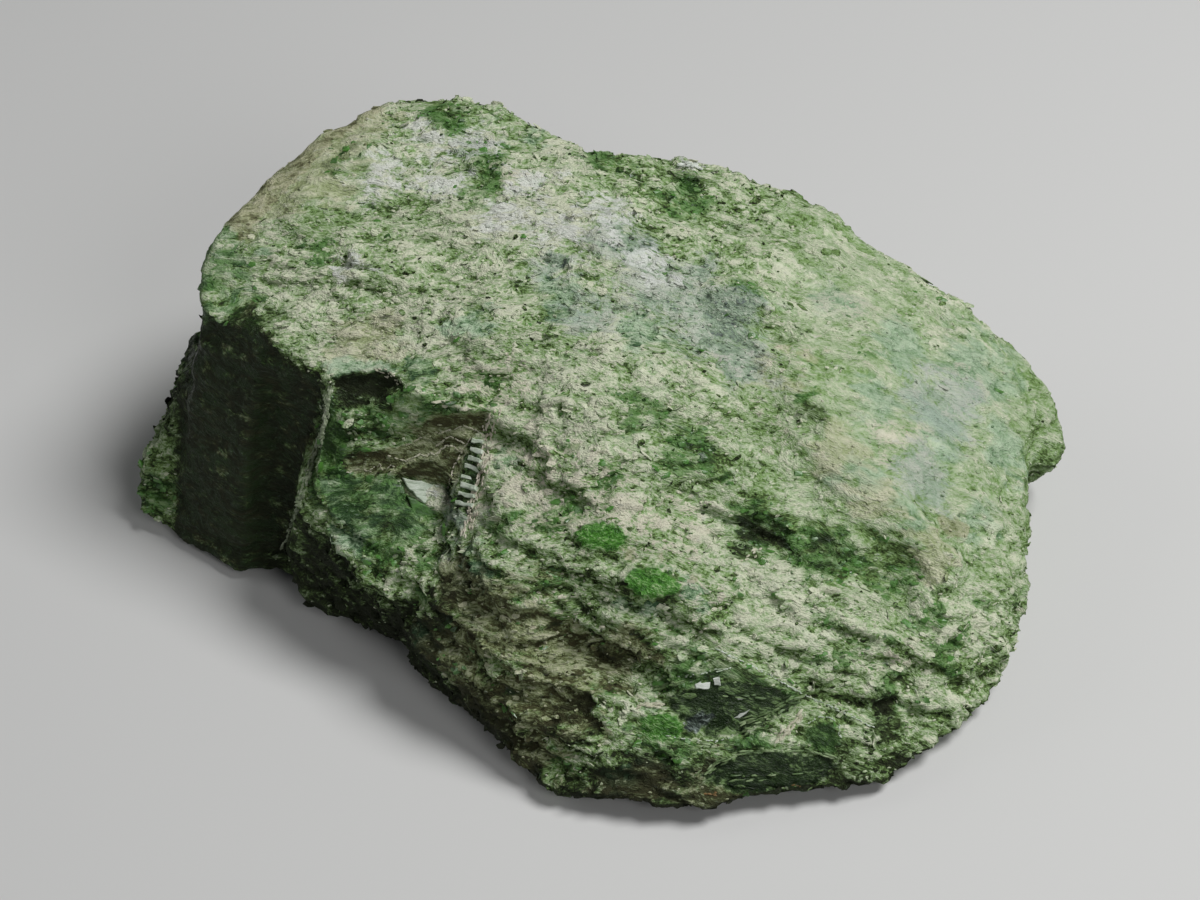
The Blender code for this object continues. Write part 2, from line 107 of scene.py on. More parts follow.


# %% [markdown]
# ## Places on the stone
# The colour and the roughness of the real stone change from place to place: green seams, pale powdery
# ground, brown stains, a grey-blue band. Each kind is a short list of soft spots, a middle and a radius,
# given on the stone. Calm spots are the smoother ground, and dents are small pits with a depth. Kinds
# without spots here belong to the flat faces further down.

# %% Soft spots of each kind
KINDS = {
    "glass": (), "slate": (), "gem": (),
    "calm": (
        (17.5, -0.5, 11, 9), (24, 3, 9, 6), (15, 8, 13.5, 5), (-20.5, -0.5, 8, 6), (-11, -4, 14.5, 1.5),
        (-17.5, 11.5, 19.5, 3.5),
    ),
    "teal": (
        (-20.5, 6.5, 17.2, 0.8), (22, 6, 8.5, 2.6),
    ),
    "emerald": (
        (-9.1, 15, 20.8, 1.5), (-6.4, 11.8, 20, 1.9), (-6.9, 10, 19.5, 1.3), (0.3, 12.9, 19.4, 1.4),
        (5.3, 10.9, 17.7, 1.5), (-14.9, 12.6, 20, 1), (-21.9, 4.5, 16.7, 2), (-20.7, 3.1, 16.1, 1.3),
        (-11, -2.5, 15.9, 1.3), (-15.1, -3.6, 12.3, 1.3), (-14.2, -2.8, 14.2, 1), (-8.8, -2.9, 15.9, 1),
        (-14, -5.1, 10.6, 2.2), (-10.1, -5.7, 9.6, 1.3), (-12, -7.5, 9.1, 1.9), (0, -11.2, 12.6, 1),
        (2.8, -13.4, 11.3, 1.1), (-2.1, -9.8, 12.3, 0.9), (2.2, -4.3, 15.3, 1.3), (4.9, -6, 13.9, 1.5),
        (8.8, -8.3, 10.8, 1.5), (11, -9, 9.5, 1.7), (13.8, -9.3, 8.6, 1.4), (16.7, -9.3, 7.4, 1),
        (3.2, -18.2, 4.3, 1.9), (4.9, -15.7, 6.9, 1.5), (7.6, -16.7, 5.5, 1.6), (8.7, -18.8, 2.6, 1.6),
        (12, -17.6, 3.1, 1.2), (13.7, -13.3, 6.5, 1.1), (16.5, -14.7, 3.9, 1), (19.4, -12.7, 4.9, 0.9),
        (17.5, -11.5, 6.2, 0.8), (8, 4.1, 17, 1), (14.9, 2.2, 13.8, 0.5), (11.2, -1.7, 14.3, 0.8),
        (-27.1, 1.4, 2.3, 1.6), (-5.4, -9.5, 12.1, 0.9), (0.6, -8.3, 13.9, 0.8), (-2.2, -6.3, 14.9, 0.8),
        (2.3, 5.8, 18.2, 0.9), (-10, 17, 9, 2.6), (6, 15, 6, 2.4), (-24, 9, 7, 2.2), (15, 11, 8, 2.2),
        (-2, 17, 14, 2), (-18, 15, 14, 2.4), (21, 6, 7, 1.8), (-16, 6, 17.8, 0.9),
    ),
    "pale": (
        (-9.4, -0.2, 16.7, 4), (-14, 0.8, 16.5, 3.4), (-2.2, -4.3, 16.1, 3.8), (0, -6.6, 15.2, 3.8),
        (-4.4, -5.3, 14.8, 3.2), (-6.8, 6.8, 18.8, 3), (-2.3, 8.1, 19.3, 3), (12.7, 5.1, 15, 4.2),
        (16.4, 6.5, 13.8, 4.2), (21.1, 4.4, 10.9, 4), (13.3, -4.6, 12.5, 2.3), (14.9, -6.9, 10.9, 1.8),
        (18.3, -9, 8.3, 1.6), (17.1, -1.1, 11.4, 4.4), (22, -0.7, 8.6, 3.4), (22.2, -5.7, 6.3, 2.8),
        (-2.3, 12.2, 19.6, 2.3), (-10, 14, 20.5, 1.7), (1.1, 2.3, 17.5, 3.2), (5.5, -2.3, 15.7, 2.5),
        (-17, 4.7, 17.7, 2.9), (8.7, -13.3, 8.1, 3), (5.4, -15, 7.7, 1.6), (-3.2, -14.1, 7.4, 0.9),
        (0, -8.8, 13.9, 3.2), (4.4, -10.5, 12, 3.2), (3, -7.5, 14.3, 2.4), (-3.5, -8.5, 13.2, 2.6),
        (11.5, -13, 8, 3), (15, -13, 6, 2.6), (18.3, -11.5, 6, 2.4), (21.3, -10.1, 4.9, 2.6),
        (17.5, -14.5, 3.5, 1.6), (7, -11.5, 10.5, 2.4), (-6, 17, 11, 3), (10, 13, 10, 3), (-20, 12, 9, 3),
        (20, 9, 9, 3),
    ),
    "white": (
        (-7, 13.4, 20.2, 1.5), (-4, 9.6, 19.9, 1.7), (-10.5, 13.4, 20.2, 1.5), (-5.7, 7.4, 19.1, 1.5),
        (-12.7, 10.4, 19.6, 1.7), (0.6, 7.9, 19, 1.8), (-2.3, 6.6, 19, 1.6), (5, 12.9, 18.7, 0.9),
        (-9.5, 10.5, 20, 1.6), (2.8, 5, 18, 1.3),
    ),
    "blue": (
        (3.4, 4, 17.4, 2.2), (5.6, 2, 16.2, 2.2), (7.9, 0.2, 14.8, 1.9), (1.1, 6.1, 18.7, 1.9),
        (-0.5, 1.5, 17.4, 1.5), (5.7, 5.6, 16.9, 1.2), (7.4, 2.7, 16.4, 1.4), (-3.1, 4.4, 18.2, 1),
        (20, 1, 10.8, 2.2), (18, -4, 9.8, 1.8), (-7, -8, 10, 1.6),
    ),
    "brown": (
        (-5.4, -13.4, 8.2, 2.6), (-2.2, -14.1, 6.6, 2.2), (-7.1, -11.7, 8.8, 1.8), (-3.2, -16.3, 5, 2.6),
        (0, -14.6, 6.4, 2), (-8.8, -13.2, 5.5, 1.9), (1.1, -14.5, 7.8, 1.3), (-4.4, -17.5, 2.2, 2),
        (2.2, -12, 11.6, 0.5), (-20.7, -0.6, 9.3, 3.5), (-21.6, -1.5, 5.3, 2.9), (-17.7, -1.2, 9.9, 1.7),
        (-9.4, -5.3, 11.6, 1.7), (-8.3, -4.6, 13.3, 1.5), (5.4, -12.6, 10.6, 0.5), (19.7, -6, 8.3, 1),
        (-6.6, -15.3, 3.7, 1.9), (4, 16, 9, 2.6), (-14, 17, 5, 2.6), (18, 10, 5, 2.2), (6.5, -20, 0.8, 2.2),
        (2, -20, 1, 2),
    ),
    "straw": (
        (-17.4, 11.4, 19.5, 2.6), (-19.6, 9.2, 18.7, 1.8), (-15.5, 13.6, 20, 1.7), (-13.5, 15.5, 20.2, 1.5),
        (13.3, -4.6, 12.5, 1.4), (15.5, -6.9, 10.7, 1.4), (18.5, -8.6, 8.5, 1.3), (9.5, -0.5, 14.8, 0.9),
        (-13, 0, 16.4, 1.6), (12, 1, 14.6, 0.9),
    ),
    "pink": (
        (-3.3, -7.3, 13.7, 2.6), (0, -9.2, 13.3, 2.6), (3.3, -9.7, 12.2, 2.2), (-6.6, -3.7, 15.5, 1.6),
        (-5.5, -2.8, 16.1, 1.8), (5.4, -13.4, 9.9, 1.5), (-2.1, -13, 9.5, 1.5), (2.2, -11.1, 12.2, 1.6),
        (9.5, -3.5, 13, 1.2), (-5.5, -6.1, 13.3, 1), (-7.2, -5.4, 12.5, 0.9), (16.5, -13.5, 5, 1.2),
        (-5, 10.5, 19.9, 1.2), (7.5, -0.5, 15, 1.2), (17, -2.5, 11, 1.8), (13.5, 5.5, 14.5, 1.6),
        (20.5, 2.5, 10.3, 1.6), (11.5, 1, 14.6, 1.3), (16, 2, 12.6, 1.2),
    ),
    # The dark spots are partly the stone's dark mineral and partly painted shade: under the nose, low on the
    # front and on the shaded left side
    "dark": (
        (8.8, -9.2, 9.7, 1.1), (12.1, -9.7, 9, 1), (0.3, -14.7, 6.4, 0.9), (5.4, -19.5, 2.1, 1.4),
        (2.2, -19.8, 2.5, 1.8), (-2.2, -17.4, 4.6, 1.2), (10.2, 2.3, 14.8, 0.7), (12, -3.2, 13.5, 0.7),
        (15.4, -15.6, 3, 1.2), (13.6, -18.7, 1.2, 1.4), (-9.9, -12.5, 5.6, 1.5), (-14.9, -7.4, 3.1, 3),
        (-24.5, 2.5, 9.6, 3), (-25.2, 6, 6.5, 2.2), (-23.5, 5.5, 12.5, 2.4), (-19.9, -0.2, 12.1, 3.5),
        (-22.1, -0.7, 6.9, 3.5), (-20, -2, 3, 3.5), (-13.4, -2.5, 15.2, 1.2), (-8.7, -11.9, 8.2, 1.2),
        (-11.5, -10.5, 3, 2.5), (-17, -3.5, 5.5, 2.2), (-6.5, -16, 2, 2.4),
    ),
}
DENTS = ((9.6, 2.4, 15.2, 0.6, 0.35), (11.8, -3.6, 13.2, 0.6, 0.35), (8.8, -9, 9.9, 1.2, 0.3))
WANDER_BROAD = 1.3
WANDER_STREAK = 1.9
WANDER_SIDE = 0.7


def wandered(points):
    """The points pushed by streaky noise, so that a soft spot ends in a ragged edge along the layers."""
    pushed = np.empty_like(points)
    for row, values in enumerate(points):
        point = Vector(values)
        streak = Vector((point.x / 1.8, point.y / 0.55, layer_height(point) / 0.5))
        push = WANDER_BROAD * noise.noise_vector(point / 2.3)
        push.x += WANDER_STREAK * noise.noise(streak)
        push.y += WANDER_SIDE * noise.noise(streak + Vector((9.0, 3.0, 1.0)))
        pushed[row] = point + push
    return pushed


def spot_strengths(points, spots):
    """How deep each point lies inside the nearest soft spot, from 0 outside to 1 in its middle."""
    strength = np.zeros(len(points))
    for x, y, z, radius in spots:
        distance = np.linalg.norm(points - np.array((x, y, z)), axis=1) / (radius * 1.5)
        strength = np.maximum(strength, np.clip(1.0 - distance * distance, 0.0, 1.0))
    return strength


# %% More spots, as pixels of the view with a radius
SEEN = {
    "emerald": (
        (370, 415, 1.2), (395, 425, 1), (430, 412, 0.9), (355, 440, 1), (360, 395, 0.9), (645, 400, 0.7),
        (665, 412, 0.8), (660, 432, 0.7), (700, 440, 0.7), (715, 460, 0.8), (725, 477, 0.6),
        (740, 520, 0.9), (770, 525, 1), (800, 540, 1), (830, 560, 0.9), (870, 570, 0.8), (905, 577, 0.8),
        (690, 556, 0.6), (600, 500, 0.6), (560, 395, 0.6), (480, 385, 0.7), (445, 395, 0.9),
        (420, 385, 0.8), (380, 372, 0.8), (360, 500, 1.1), (345, 480, 1), (212, 262, 1.6), (205, 300, 1.6),
        (225, 240, 1), (400, 520, 1), (380, 540, 1), (430, 560, 0.8), (880, 640, 0.7), (850, 660, 0.7),
        (930, 600, 0.6), (870, 690, 0.6), (820, 620, 0.7), (745, 600, 0.7), (700, 650, 0.7),
        (565, 575, 0.6), (590, 640, 0.5), (540, 590, 0.6), (510, 560, 0.6), (440, 620, 0.7),
        (470, 590, 0.6), (560, 620, 0.6), (450, 650, 0.7), (500, 690, 0.7), (530, 740, 0.8),
        (410, 600, 0.7), (560, 760, 0.7), (470, 700, 0.5), (520, 620, 0.5), (600, 700, 0.6),
        (610, 650, 0.6), (960, 640, 0.6), (980, 600, 0.6), (900, 720, 0.7), (640, 620, 0.6),
    ),
    "white": (
        (358, 262, 0.8), (368, 270, 0.5), (690, 167, 0.8),
    ),
    "teal": (
        (900, 345, 1.8), (960, 380, 1.8), (940, 430, 1.6), (880, 400, 1.4), (1005, 450, 1.6),
        (860, 470, 1.1), (980, 520, 1.4), (910, 520, 1.2), (830, 300, 1.5), (640, 330, 1.2),
        (560, 300, 1.2), (470, 320, 1.2), (300, 400, 0.8), (350, 540, 1), (420, 640, 1.1), (620, 780, 0.8),
        (640, 600, 0.7), (690, 590, 0.8), (530, 135, 0.9), (500, 470, 0.9), (480, 560, 1), (395, 480, 0.6),
    ),
    # Mostly painted shade: dark spots in the creases, under the nose and along the undercut foot of the stone
    "dark": (
        (700, 562, 0.4), (760, 547, 0.4), (815, 405, 0.4), (815, 430, 0.4), (780, 336, 0.5),
        (300, 590, 2.4), (340, 600, 2.2), (380, 640, 1.5), (420, 680, 1.4), (480, 730, 1.4),
        (540, 790, 1.2), (600, 800, 1.6), (700, 805, 1.8), (800, 795, 1.8), (650, 802, 1.5),
        (750, 800, 1.6), (850, 786, 1.4), (900, 766, 1), (930, 745, 0.8), (290, 560, 1.4), (270, 365, 0.8),
        (320, 560, 1.8), (345, 578, 1.6), (372, 612, 1.6), (310, 530, 1), (405, 660, 1.2), (450, 700, 1.2),
    ),
}

# %% [markdown]
# ## A finer skin
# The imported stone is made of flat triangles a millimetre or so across. Its skin is merged into one closed
# mesh and remeshed on a fine even grid, and the facets are smoothed away. That gives points to move, while
# the stone keeps its shape and size.

# %% Merge, remesh and smooth the skin
SKIN_GRAIN = 0.27
SMOOTH_ROUNDS = 4


def mesh_of(shape, name):
    """Put a finished bmesh into a mesh, and free it."""
    mesh = bpy.data.meshes.new(name)
    shape.to_mesh(mesh)
    shape.free()
    return mesh


def add_object(name, data):
    made = bpy.data.objects.new(name, data)
    bpy.context.scene.collection.objects.link(made)
    return made


def merged_copy(node):
    shape = bmesh.new()
    shape.from_mesh(node.data)
    bmesh.ops.remove_doubles(shape, verts=shape.verts, dist=1e-7)
    return mesh_of(shape, "coarse_skin")


def remeshed(mesh, voxel):
    source = add_object("remesh_source", mesh)
    modifier = source.modifiers.new("even grid", "REMESH")
    modifier.mode = "VOXEL"
    modifier.voxel_size = voxel
    graph = bpy.context.evaluated_depsgraph_get()
    fine = bpy.data.meshes.new_from_object(source.evaluated_get(graph))
    bpy.data.objects.remove(source)
    return fine


skin = bmesh.new()
skin.from_mesh(remeshed(merged_copy(stone_node), SKIN_GRAIN * MM))
for _ in range(SMOOTH_ROUNDS):
    bmesh.ops.smooth_vert(skin, verts=skin.verts, factor=0.5,
                          use_axis_x=True, use_axis_y=True, use_axis_z=True)
skin.normal_update()
smooth_tree = BVHTree.FromBMesh(skin)
print("skin points", len(skin.verts), "faces", len(skin.faces))

# %% [markdown]
# ## From a pixel to a place on the stone
# The special places of this stone, such as the steps in the pocket and the two glassy lenses, are known from
# one view. Each corner of such a piece is given as a pixel, and the camera's own numbers turn the pixel into
# a line of sight, which meets the stone in one point. A few pixels give the plane that fits the stone there.

# %% Lines of sight
CAMERA_PLACE = Vector((0.012, -98.806, 106.695))
CAMERA_TILT = math.radians(45.0)
LENS = 72.0
SENSOR = 36.0
VIEW_WIDTH = 1200
VIEW_HEIGHT = 900
STONE_MIDDLE = (600.0, 470.0)
INWARD_STEP = 0.02

stone_tree = smooth_tree


def sight(u, v):
    across = (u - VIEW_WIDTH / 2) / VIEW_WIDTH * SENSOR / LENS
    rise = (VIEW_HEIGHT / 2 - v) / VIEW_WIDTH * SENSOR / LENS
    return (Matrix.Rotation(CAMERA_TILT, 3, "X") @ Vector((across, rise, -1.0))).normalized()


def on_stone(u, v):
    """The point and normal of the stone at a pixel, or at the nearest pixel inwards that meets it."""
    point = None
    while point is None:
        point, normal, _, _ = stone_tree.ray_cast(CAMERA_PLACE * MM, sight(u, v))
        u, v = u + INWARD_STEP * (STONE_MIDDLE[0] - u), v + INWARD_STEP * (STONE_MIDDLE[1] - v)
    return point / MM, normal


def fitted_plane(pixels, lift, lean):
    """A point and the normal of the plane that fits the stone at some pixels, lifted and leant a little."""
    hits = [on_stone(u, v) for u, v in pixels]
    middle = sum((point for point, _ in hits), Vector()) / len(hits)
    facing = (sum((normal for _, normal in hits), Vector()).normalized() + Vector(lean)).normalized()
    return middle + facing * lift, facing


def on_plane(ray, level, facing):
    return CAMERA_PLACE + ray * ((level - CAMERA_PLACE).dot(facing) / ray.dot(facing))


def pixels_of(points):
    """The view's pixel of each point, as two arrays."""
    rise, back = math.cos(CAMERA_TILT), math.sin(CAMERA_TILT)
    offset = points - np.array(CAMERA_PLACE)
    ahead = offset[:, 1] * back - offset[:, 2] * rise
    upward = offset[:, 1] * rise + offset[:, 2] * back
    zoom = VIEW_WIDTH * LENS / SENSOR
    return VIEW_WIDTH / 2 + zoom * offset[:, 0] / ahead, VIEW_HEIGHT / 2 - zoom * upward / ahead


def inside_share(us, vs, corners, soft):
    """1 inside a polygon of pixels, 0 outside it, and between the two over soft pixels at its edge."""
    crossings = np.zeros(len(us), dtype=bool)
    distance = np.full(len(us), 1e9)
    for (u0, v0), (u1, v1) in zip(corners, corners[1:] + corners[:1]):
        if v0 != v1:
            crossings ^= ((v0 > vs) != (v1 > vs)) & (us < (u1 - u0) * (vs - v0) / (v1 - v0) + u0)
        du, dv = u1 - u0, v1 - v0
        share = np.clip(((us - u0) * du + (vs - v0) * dv) / (du * du + dv * dv), 0.0, 1.0)
        distance = np.minimum(distance, np.hypot(us - u0 - share * du, vs - v0 - share * dv))
    return np.clip(0.5 + np.where(crossings, distance, -distance) / soft, 0.0, 1.0)


print("the middle of the view meets the stone at", [round(v, 1) for v in on_stone(600, 450)[0]])

# %% [markdown]
# ## Flat broken faces
# In the pocket and low on the front the stone broke along flat cleavage planes. Each such face is a polygon
# of pixels. The points of the skin that are seen inside it move along their lines of sight to the plane that
# fits the stone there best, so the face is flat but still part of the skin, and its kinds colour it. A face
# without a plane only takes its kinds.

# %% The faces: corners, kinds, and for a plane its lift along the normal and its lean
FACETS = (
    # The hollow under the brow: sunk a little, and painted near black as shade
    (((334, 380), (360, 374), (383, 374), (402, 384), (386, 392), (380, 402), (355, 407), (339, 409)),
     {"dark": 1, "emerald": 0.5}, -0.7, (0, -0.2, 0)),
    (((401, 475), (411, 469), (417, 460), (428, 457), (440, 454), (446, 447), (453, 449), (461, 453),
      (457, 465), (453, 474), (447, 483), (420, 480)),
     {"brown": 1, "dark": 0.15}, 0, (0, -0.5, -0.1)),
    (((345, 459), (385, 449), (404, 446), (420, 440), (439, 445), (446, 440), (456, 439), (465, 443),
      (460, 452), (440, 452), (415, 458), (398, 466), (370, 476), (350, 474)),
     {"brown": 0.9}, -0.2, (0, -0.4, 0)),
    (((417, 429), (446, 419), (470, 414), (490, 411), (486, 425), (478, 436), (463, 430), (446, 434)),
     {"brown": 1}, -0.3, (0, -0.4, 0)),
    (((401, 478), (420, 481), (443, 486), (449, 492), (446, 503), (439, 510), (429, 508), (419, 501),
      (409, 491)),
     {"pale": 1, "white": 0.5}, 0.15, (-0.1, 0, 0.4)),
    (((407, 498), (420, 502), (429, 509), (437, 510), (434, 517), (429, 522), (417, 519), (407, 508)),
     {"emerald": 1}, 0, (-0.2, -0.3, 0)),
    (((391, 480), (402, 483), (407, 494), (403, 505), (394, 496)),
     {"emerald": 0.9}, 0, (0, 0, 0.1)),
    (((322, 396), (334, 396), (338, 430), (336, 462), (323, 470), (318, 440)),
     {"emerald": 1, "dark": 0.3}, 0, (0.2, 0, 0)),
    (((318, 478), (345, 474), (395, 482), (408, 500), (428, 528), (404, 545), (360, 536), (330, 515)),
     {"teal": 0.6, "emerald": 0.8, "dark": 0.25}, 0.1, (0, 0, 0.35)),
    (((574, 533), (583, 524), (600, 521), (617, 526), (628, 535), (624, 546), (607, 552), (590, 549),
      (578, 543)),
     {"gem": 1}, 0.2, (0, 0, 0.1)),
    (((624, 577), (636, 568), (655, 567), (672, 574), (681, 584), (676, 596), (656, 601), (636, 596),
      (627, 588)),
     {"gem": 1}, 0.2, (0, 0, 0.1)),
    # The strip of the ladder: green, and darkened under the rungs partly as painted shade of the risers
    (((472, 437), (484, 440), (470, 512), (452, 508)),
     {"dark": 0.6, "emerald": 0.7}),
    (((489, 408), (501, 411), (495, 448), (486, 490), (474, 538), (460, 538), (470, 508), (484, 458)),
     {"pale": 1, "pink": 0.7, "straw": 0.3}),
    (((322, 364), (345, 357), (380, 361), (400, 368), (403, 381), (385, 373), (360, 373), (335, 379)),
     {"teal": 0.9, "pale": 0.5}),
    # Partly the stone's teal green and partly a painted sheen
    (((402, 357), (430, 355), (440, 370), (426, 386), (406, 380)),
     {"teal": 0.8, "emerald": 0.5}),
    (((664, 697), (690, 690), (712, 685), (742, 683), (777, 691), (800, 702), (787, 712), (760, 724),
      (735, 736), (712, 735), (690, 726), (674, 712)),
     {"glass": 1}, -0.25, (0, -0.25, -0.15)),
    (((686, 668), (722, 655), (740, 664), (775, 682), (806, 700), (795, 702), (770, 690), (735, 681),
      (700, 678)),
     {"emerald": 0.6, "glass": 0.5}, 0.1, (0, -0.1, 0.1)),
    (((640, 715), (660, 711), (676, 716), (685, 727), (681, 738), (660, 742), (643, 735)),
     {"gem": 1, "dark": 0.35}, 0.15, (-0.1, -0.1, 0.1)),
    (((804, 736), (812, 723), (826, 718), (838, 725), (841, 740), (838, 757), (825, 759), (810, 750)),
     {"emerald": 1, "glass": 0.5}, 0.2, (0, -0.1, 0.1)),
    (((718, 752), (734, 742), (752, 736), (772, 737), (784, 744), (765, 748), (745, 751)),
     {"teal": 0.3, "emerald": 0.8}, 0.15, (0, 0, 0.3)),
    (((700, 778), (718, 764), (740, 754), (770, 751), (800, 753), (832, 760), (838, 766), (825, 778),
      (800, 788), (765, 792), (730, 790)),
     {"glass": 1}, -0.2, (0, -0.3, -0.2)),
    (((773, 742), (781, 729), (790, 723), (799, 715), (805, 714), (803, 723), (796, 735), (787, 744)),
     {"pale": 1, "pink": 0.5}, 0.15, (0, 0, 0.2)),
    (((638, 706), (645, 702), (660, 702), (665, 711), (650, 716), (640, 714)),
     {"pale": 1, "teal": 0.5}, 0.15, (0, 0, 0.2)),
    (((687, 716), (700, 711), (717, 715), (712, 723), (695, 732), (687, 730)),
     {"slate": 1}, 0.05, (0, -0.1, 0)),
    (((213, 232), (232, 210), (262, 182), (300, 152), (340, 122), (378, 103), (388, 108), (352, 128),
      (332, 142), (304, 172), (270, 205), (240, 240), (220, 262)),
     {"straw": 0.5, "brown": 1}),
    (((206, 236), (222, 218), (238, 238), (250, 262), (256, 290), (248, 302), (225, 318), (194, 318)),
     {"emerald": 0.62, "teal": 0.45, "pale": 0.6}),
    # The steep left face: its dark is partly the stone's dark mineral and partly painted shade
    (((186, 322), (225, 320), (252, 298), (264, 326), (282, 358), (322, 384), (300, 470), (280, 548),
      (250, 575), (172, 545), (180, 420)),
     {"dark": 0.72, "emerald": 0.7, "brown": 0.3}),
)
FACET_SOFT = 7.0
FACET_KEEPS = 0.3
FACET_REACH = 2.5
FACET_TRAVEL = 1.2


def seen_points(points, chosen):
    """Which of the chosen points the camera sees, by how far their line of sight runs before the stone."""
    seen = np.zeros(len(points), dtype=bool)
    for index in np.nonzero(chosen)[0]:
        ray = Vector(points[index]) - CAMERA_PLACE
        point, _, _, distance = smooth_tree.ray_cast(CAMERA_PLACE * MM, ray.normalized())
        seen[index] = point is None or distance / MM > ray.length - FACET_REACH
    return seen


def facet_shares(points, corners):
    """How much of each point belongs to a face, whose edge is a little wavy."""
    us, vs = pixels_of(points)
    share = inside_share(us + 2.0 * np.sin(vs * 0.9), vs + 1.5 * np.sin(us * 0.7), corners, FACET_SOFT)
    return share * seen_points(points, share > 0.0)


# %% Lay the skin onto its flat faces
skin.verts.ensure_lookup_table()
start = np.array([vertex.co[:] for vertex in skin.verts]) / MM
flatness = np.zeros(len(start))
for corners, kinds, *plane in FACETS:
    share = facet_shares(start, corners)
    flatness = np.maximum(flatness, share)
    if not plane:
        continue
    level, facing = fitted_plane(corners, *plane)
    for index in np.nonzero(share)[0]:
        place = Vector(start[index])
        travel = on_plane((place - CAMERA_PLACE).normalized(), level, facing) - place
        if travel.length > FACET_TRAVEL:
            travel *= FACET_TRAVEL / travel.length
        skin.verts[index].co += travel * share[index] * MM
skin.normal_update()
start = np.array([vertex.co[:] for vertex in skin.verts]) / MM
print("points on flat faces", int((flatness > 0.5).sum()))

# %% [markdown]
# ## Broken relief
# A broken surface of layered rock has three kinds of relief: thin layers that stand out and fall back,
# scales that broke at their own heights and tilts with a gap round each, and a fine crumb. Each is a
# function of the place in the layers, and each point of the skin moves along its normal by their sum.

# %% The relief at one point
TERRACE_PERIOD = 1.15
TERRACE_DEPTH = 0.24
TERRACE_RISE = 0.16
THIN_PERIOD = 0.47
THIN_DEPTH = 0.10
LEVEL_KEEPS = 0.22
LEDGE_GAIN = 1.1
SCALE_SIZE = Vector((1.5, 0.62, 0.42))
SCALE_DEPTH = 0.09
SCALE_TILT = 0.11
SCALE_GAP = 0.07
SCALE_GAP_WIDTH = 0.20
CRUMB_DEPTH = 0.10


def in_layers(point):
    return Vector((point.x, point.y, layer_height(point)))


def terrace(phase):
    """A layer's profile: a short steep rise, then a long fall back."""
    share = phase - math.floor(phase)
    if share < TERRACE_RISE:
        return share / TERRACE_RISE - 0.5
    return 0.5 - (share - TERRACE_RISE) / (1.0 - TERRACE_RISE)


def scale_height(place):
    """The height of the broken scale a place lies in, from its own level and tilt, with a gap at its edge."""
    cell = Vector((place.x / SCALE_SIZE.x, place.y / SCALE_SIZE.y, place.z / SCALE_SIZE.z))
    cell += 0.35 * noise.noise_vector(cell * 0.8)
    distances, middles = noise.voronoi(cell)
    level = noise.cell(middles[0] * 7.3) * 2.0 - 1.0
    tilt = noise.cell_vector(middles[0] * 3.1) * 2.0 - Vector((1.0, 1.0, 1.0))
    edge = max(0.0, 1.0 - (distances[1] - distances[0]) / SCALE_GAP_WIDTH)
    return SCALE_DEPTH * level + SCALE_TILT * tilt.dot(cell - middles[0]) - SCALE_GAP * edge


def relief(point, normal, ledgy):
    """The relief of the layers, of the scales and of the crumb at a point of the skin."""
    place = in_layers(point)
    steepness = math.sqrt(max(0.0, 1.0 - normal.dot(layer_up(point)) ** 2))
    wander = 0.9 * noise.noise(point / 5.0) + 0.4 * noise.noise(point / 1.7)
    patchy = 0.45 + 1.2 * abs(noise.noise(point / 4.0 + Vector((5.0, 2.0, 8.0)))) + LEDGE_GAIN * ledgy
    standing = LEVEL_KEEPS + (1.0 - LEVEL_KEEPS) * steepness
    layers = TERRACE_DEPTH * terrace(place.z / TERRACE_PERIOD + wander) * standing * patchy
    layers += THIN_DEPTH * terrace(place.z / THIN_PERIOD + 1.6 * wander) * standing
    crumb = noise.noise(Vector((place.x / 0.95, place.y / 0.42, place.z / 0.32)))
    crumb += 0.8 * noise.noise(Vector((place.x / 0.5, place.y / 0.25, place.z / 0.2)))
    return layers, scale_height(place), CRUMB_DEPTH * crumb


# %% Move every point of the skin
CALM_KEEPS = 0.32
FLAT_SPOT = 0.35
BOX_MARGIN = 0.02
SKIN_SINK = 0.03
LEDGY = (
    (470, 640, 3), (540, 660, 3), (600, 640, 2.5), (560, 700, 3), (500, 700, 2.5), (430, 600, 2),
    (850, 650, 3), (930, 620, 3), (900, 700, 2.5), (700, 520, 2), (520, 560, 2.2), (780, 600, 2.4),
)
calm = spot_strengths(start, KINDS["calm"])
ledgy = spot_strengths(start, [(*on_stone(u, v)[0], radius) for u, v, radius in LEDGY])
lowest = (np.array(CAD_BOX[0]) / MM) + BOX_MARGIN
highest = (np.array(CAD_BOX[1]) / MM) - BOX_MARGIN


def kept_in_box(place):
    return Vector([min(max(place[axis], lowest[axis]), highest[axis]) for axis in range(3)])


moved = np.zeros(len(start))
fine_height = np.zeros(len(start))
for index, vertex in enumerate(skin.verts):
    point = vertex.co / MM
    layers, scale, crumb = relief(point, vertex.normal, ledgy[index])
    keep = (1.0 - (1.0 - CALM_KEEPS) * calm[index]) * (1.0 - (1.0 - FACET_KEEPS) * flatness[index])
    dent = sum(depth * max(0.0, 1.0 - (point - Vector((x, y, z))).length / (1.6 * radius))
               for x, y, z, radius, depth in DENTS)
    near_ground = min(max((point.z - 0.1) / FLAT_SPOT, 0.0), 1.0)
    moved[index] = (layers + scale + crumb) * keep * near_ground - SKIN_SINK * near_ground - dent
    fine_height[index] = layers * 3.0 + scale * 6.0 + crumb * 6.0
    vertex.co = kept_in_box(point + vertex.normal * moved[index]) * MM
skin.normal_update()
upward = np.array([vertex.normal.z for vertex in skin.verts])
print("relief from", round(moved.min(), 2), "to", round(moved.max(), 2), "mm")

# %% [markdown]
# ## What the material reads
# The material can't find the soft spots by itself, so each point of the skin carries them as attributes,
# with its place in the layers, its height in the fine relief and how far it faces up. Powder gathers on what
# stands out, and the gaps are painted darker as shade; points that face up are painted lighter as if lit
# from above.

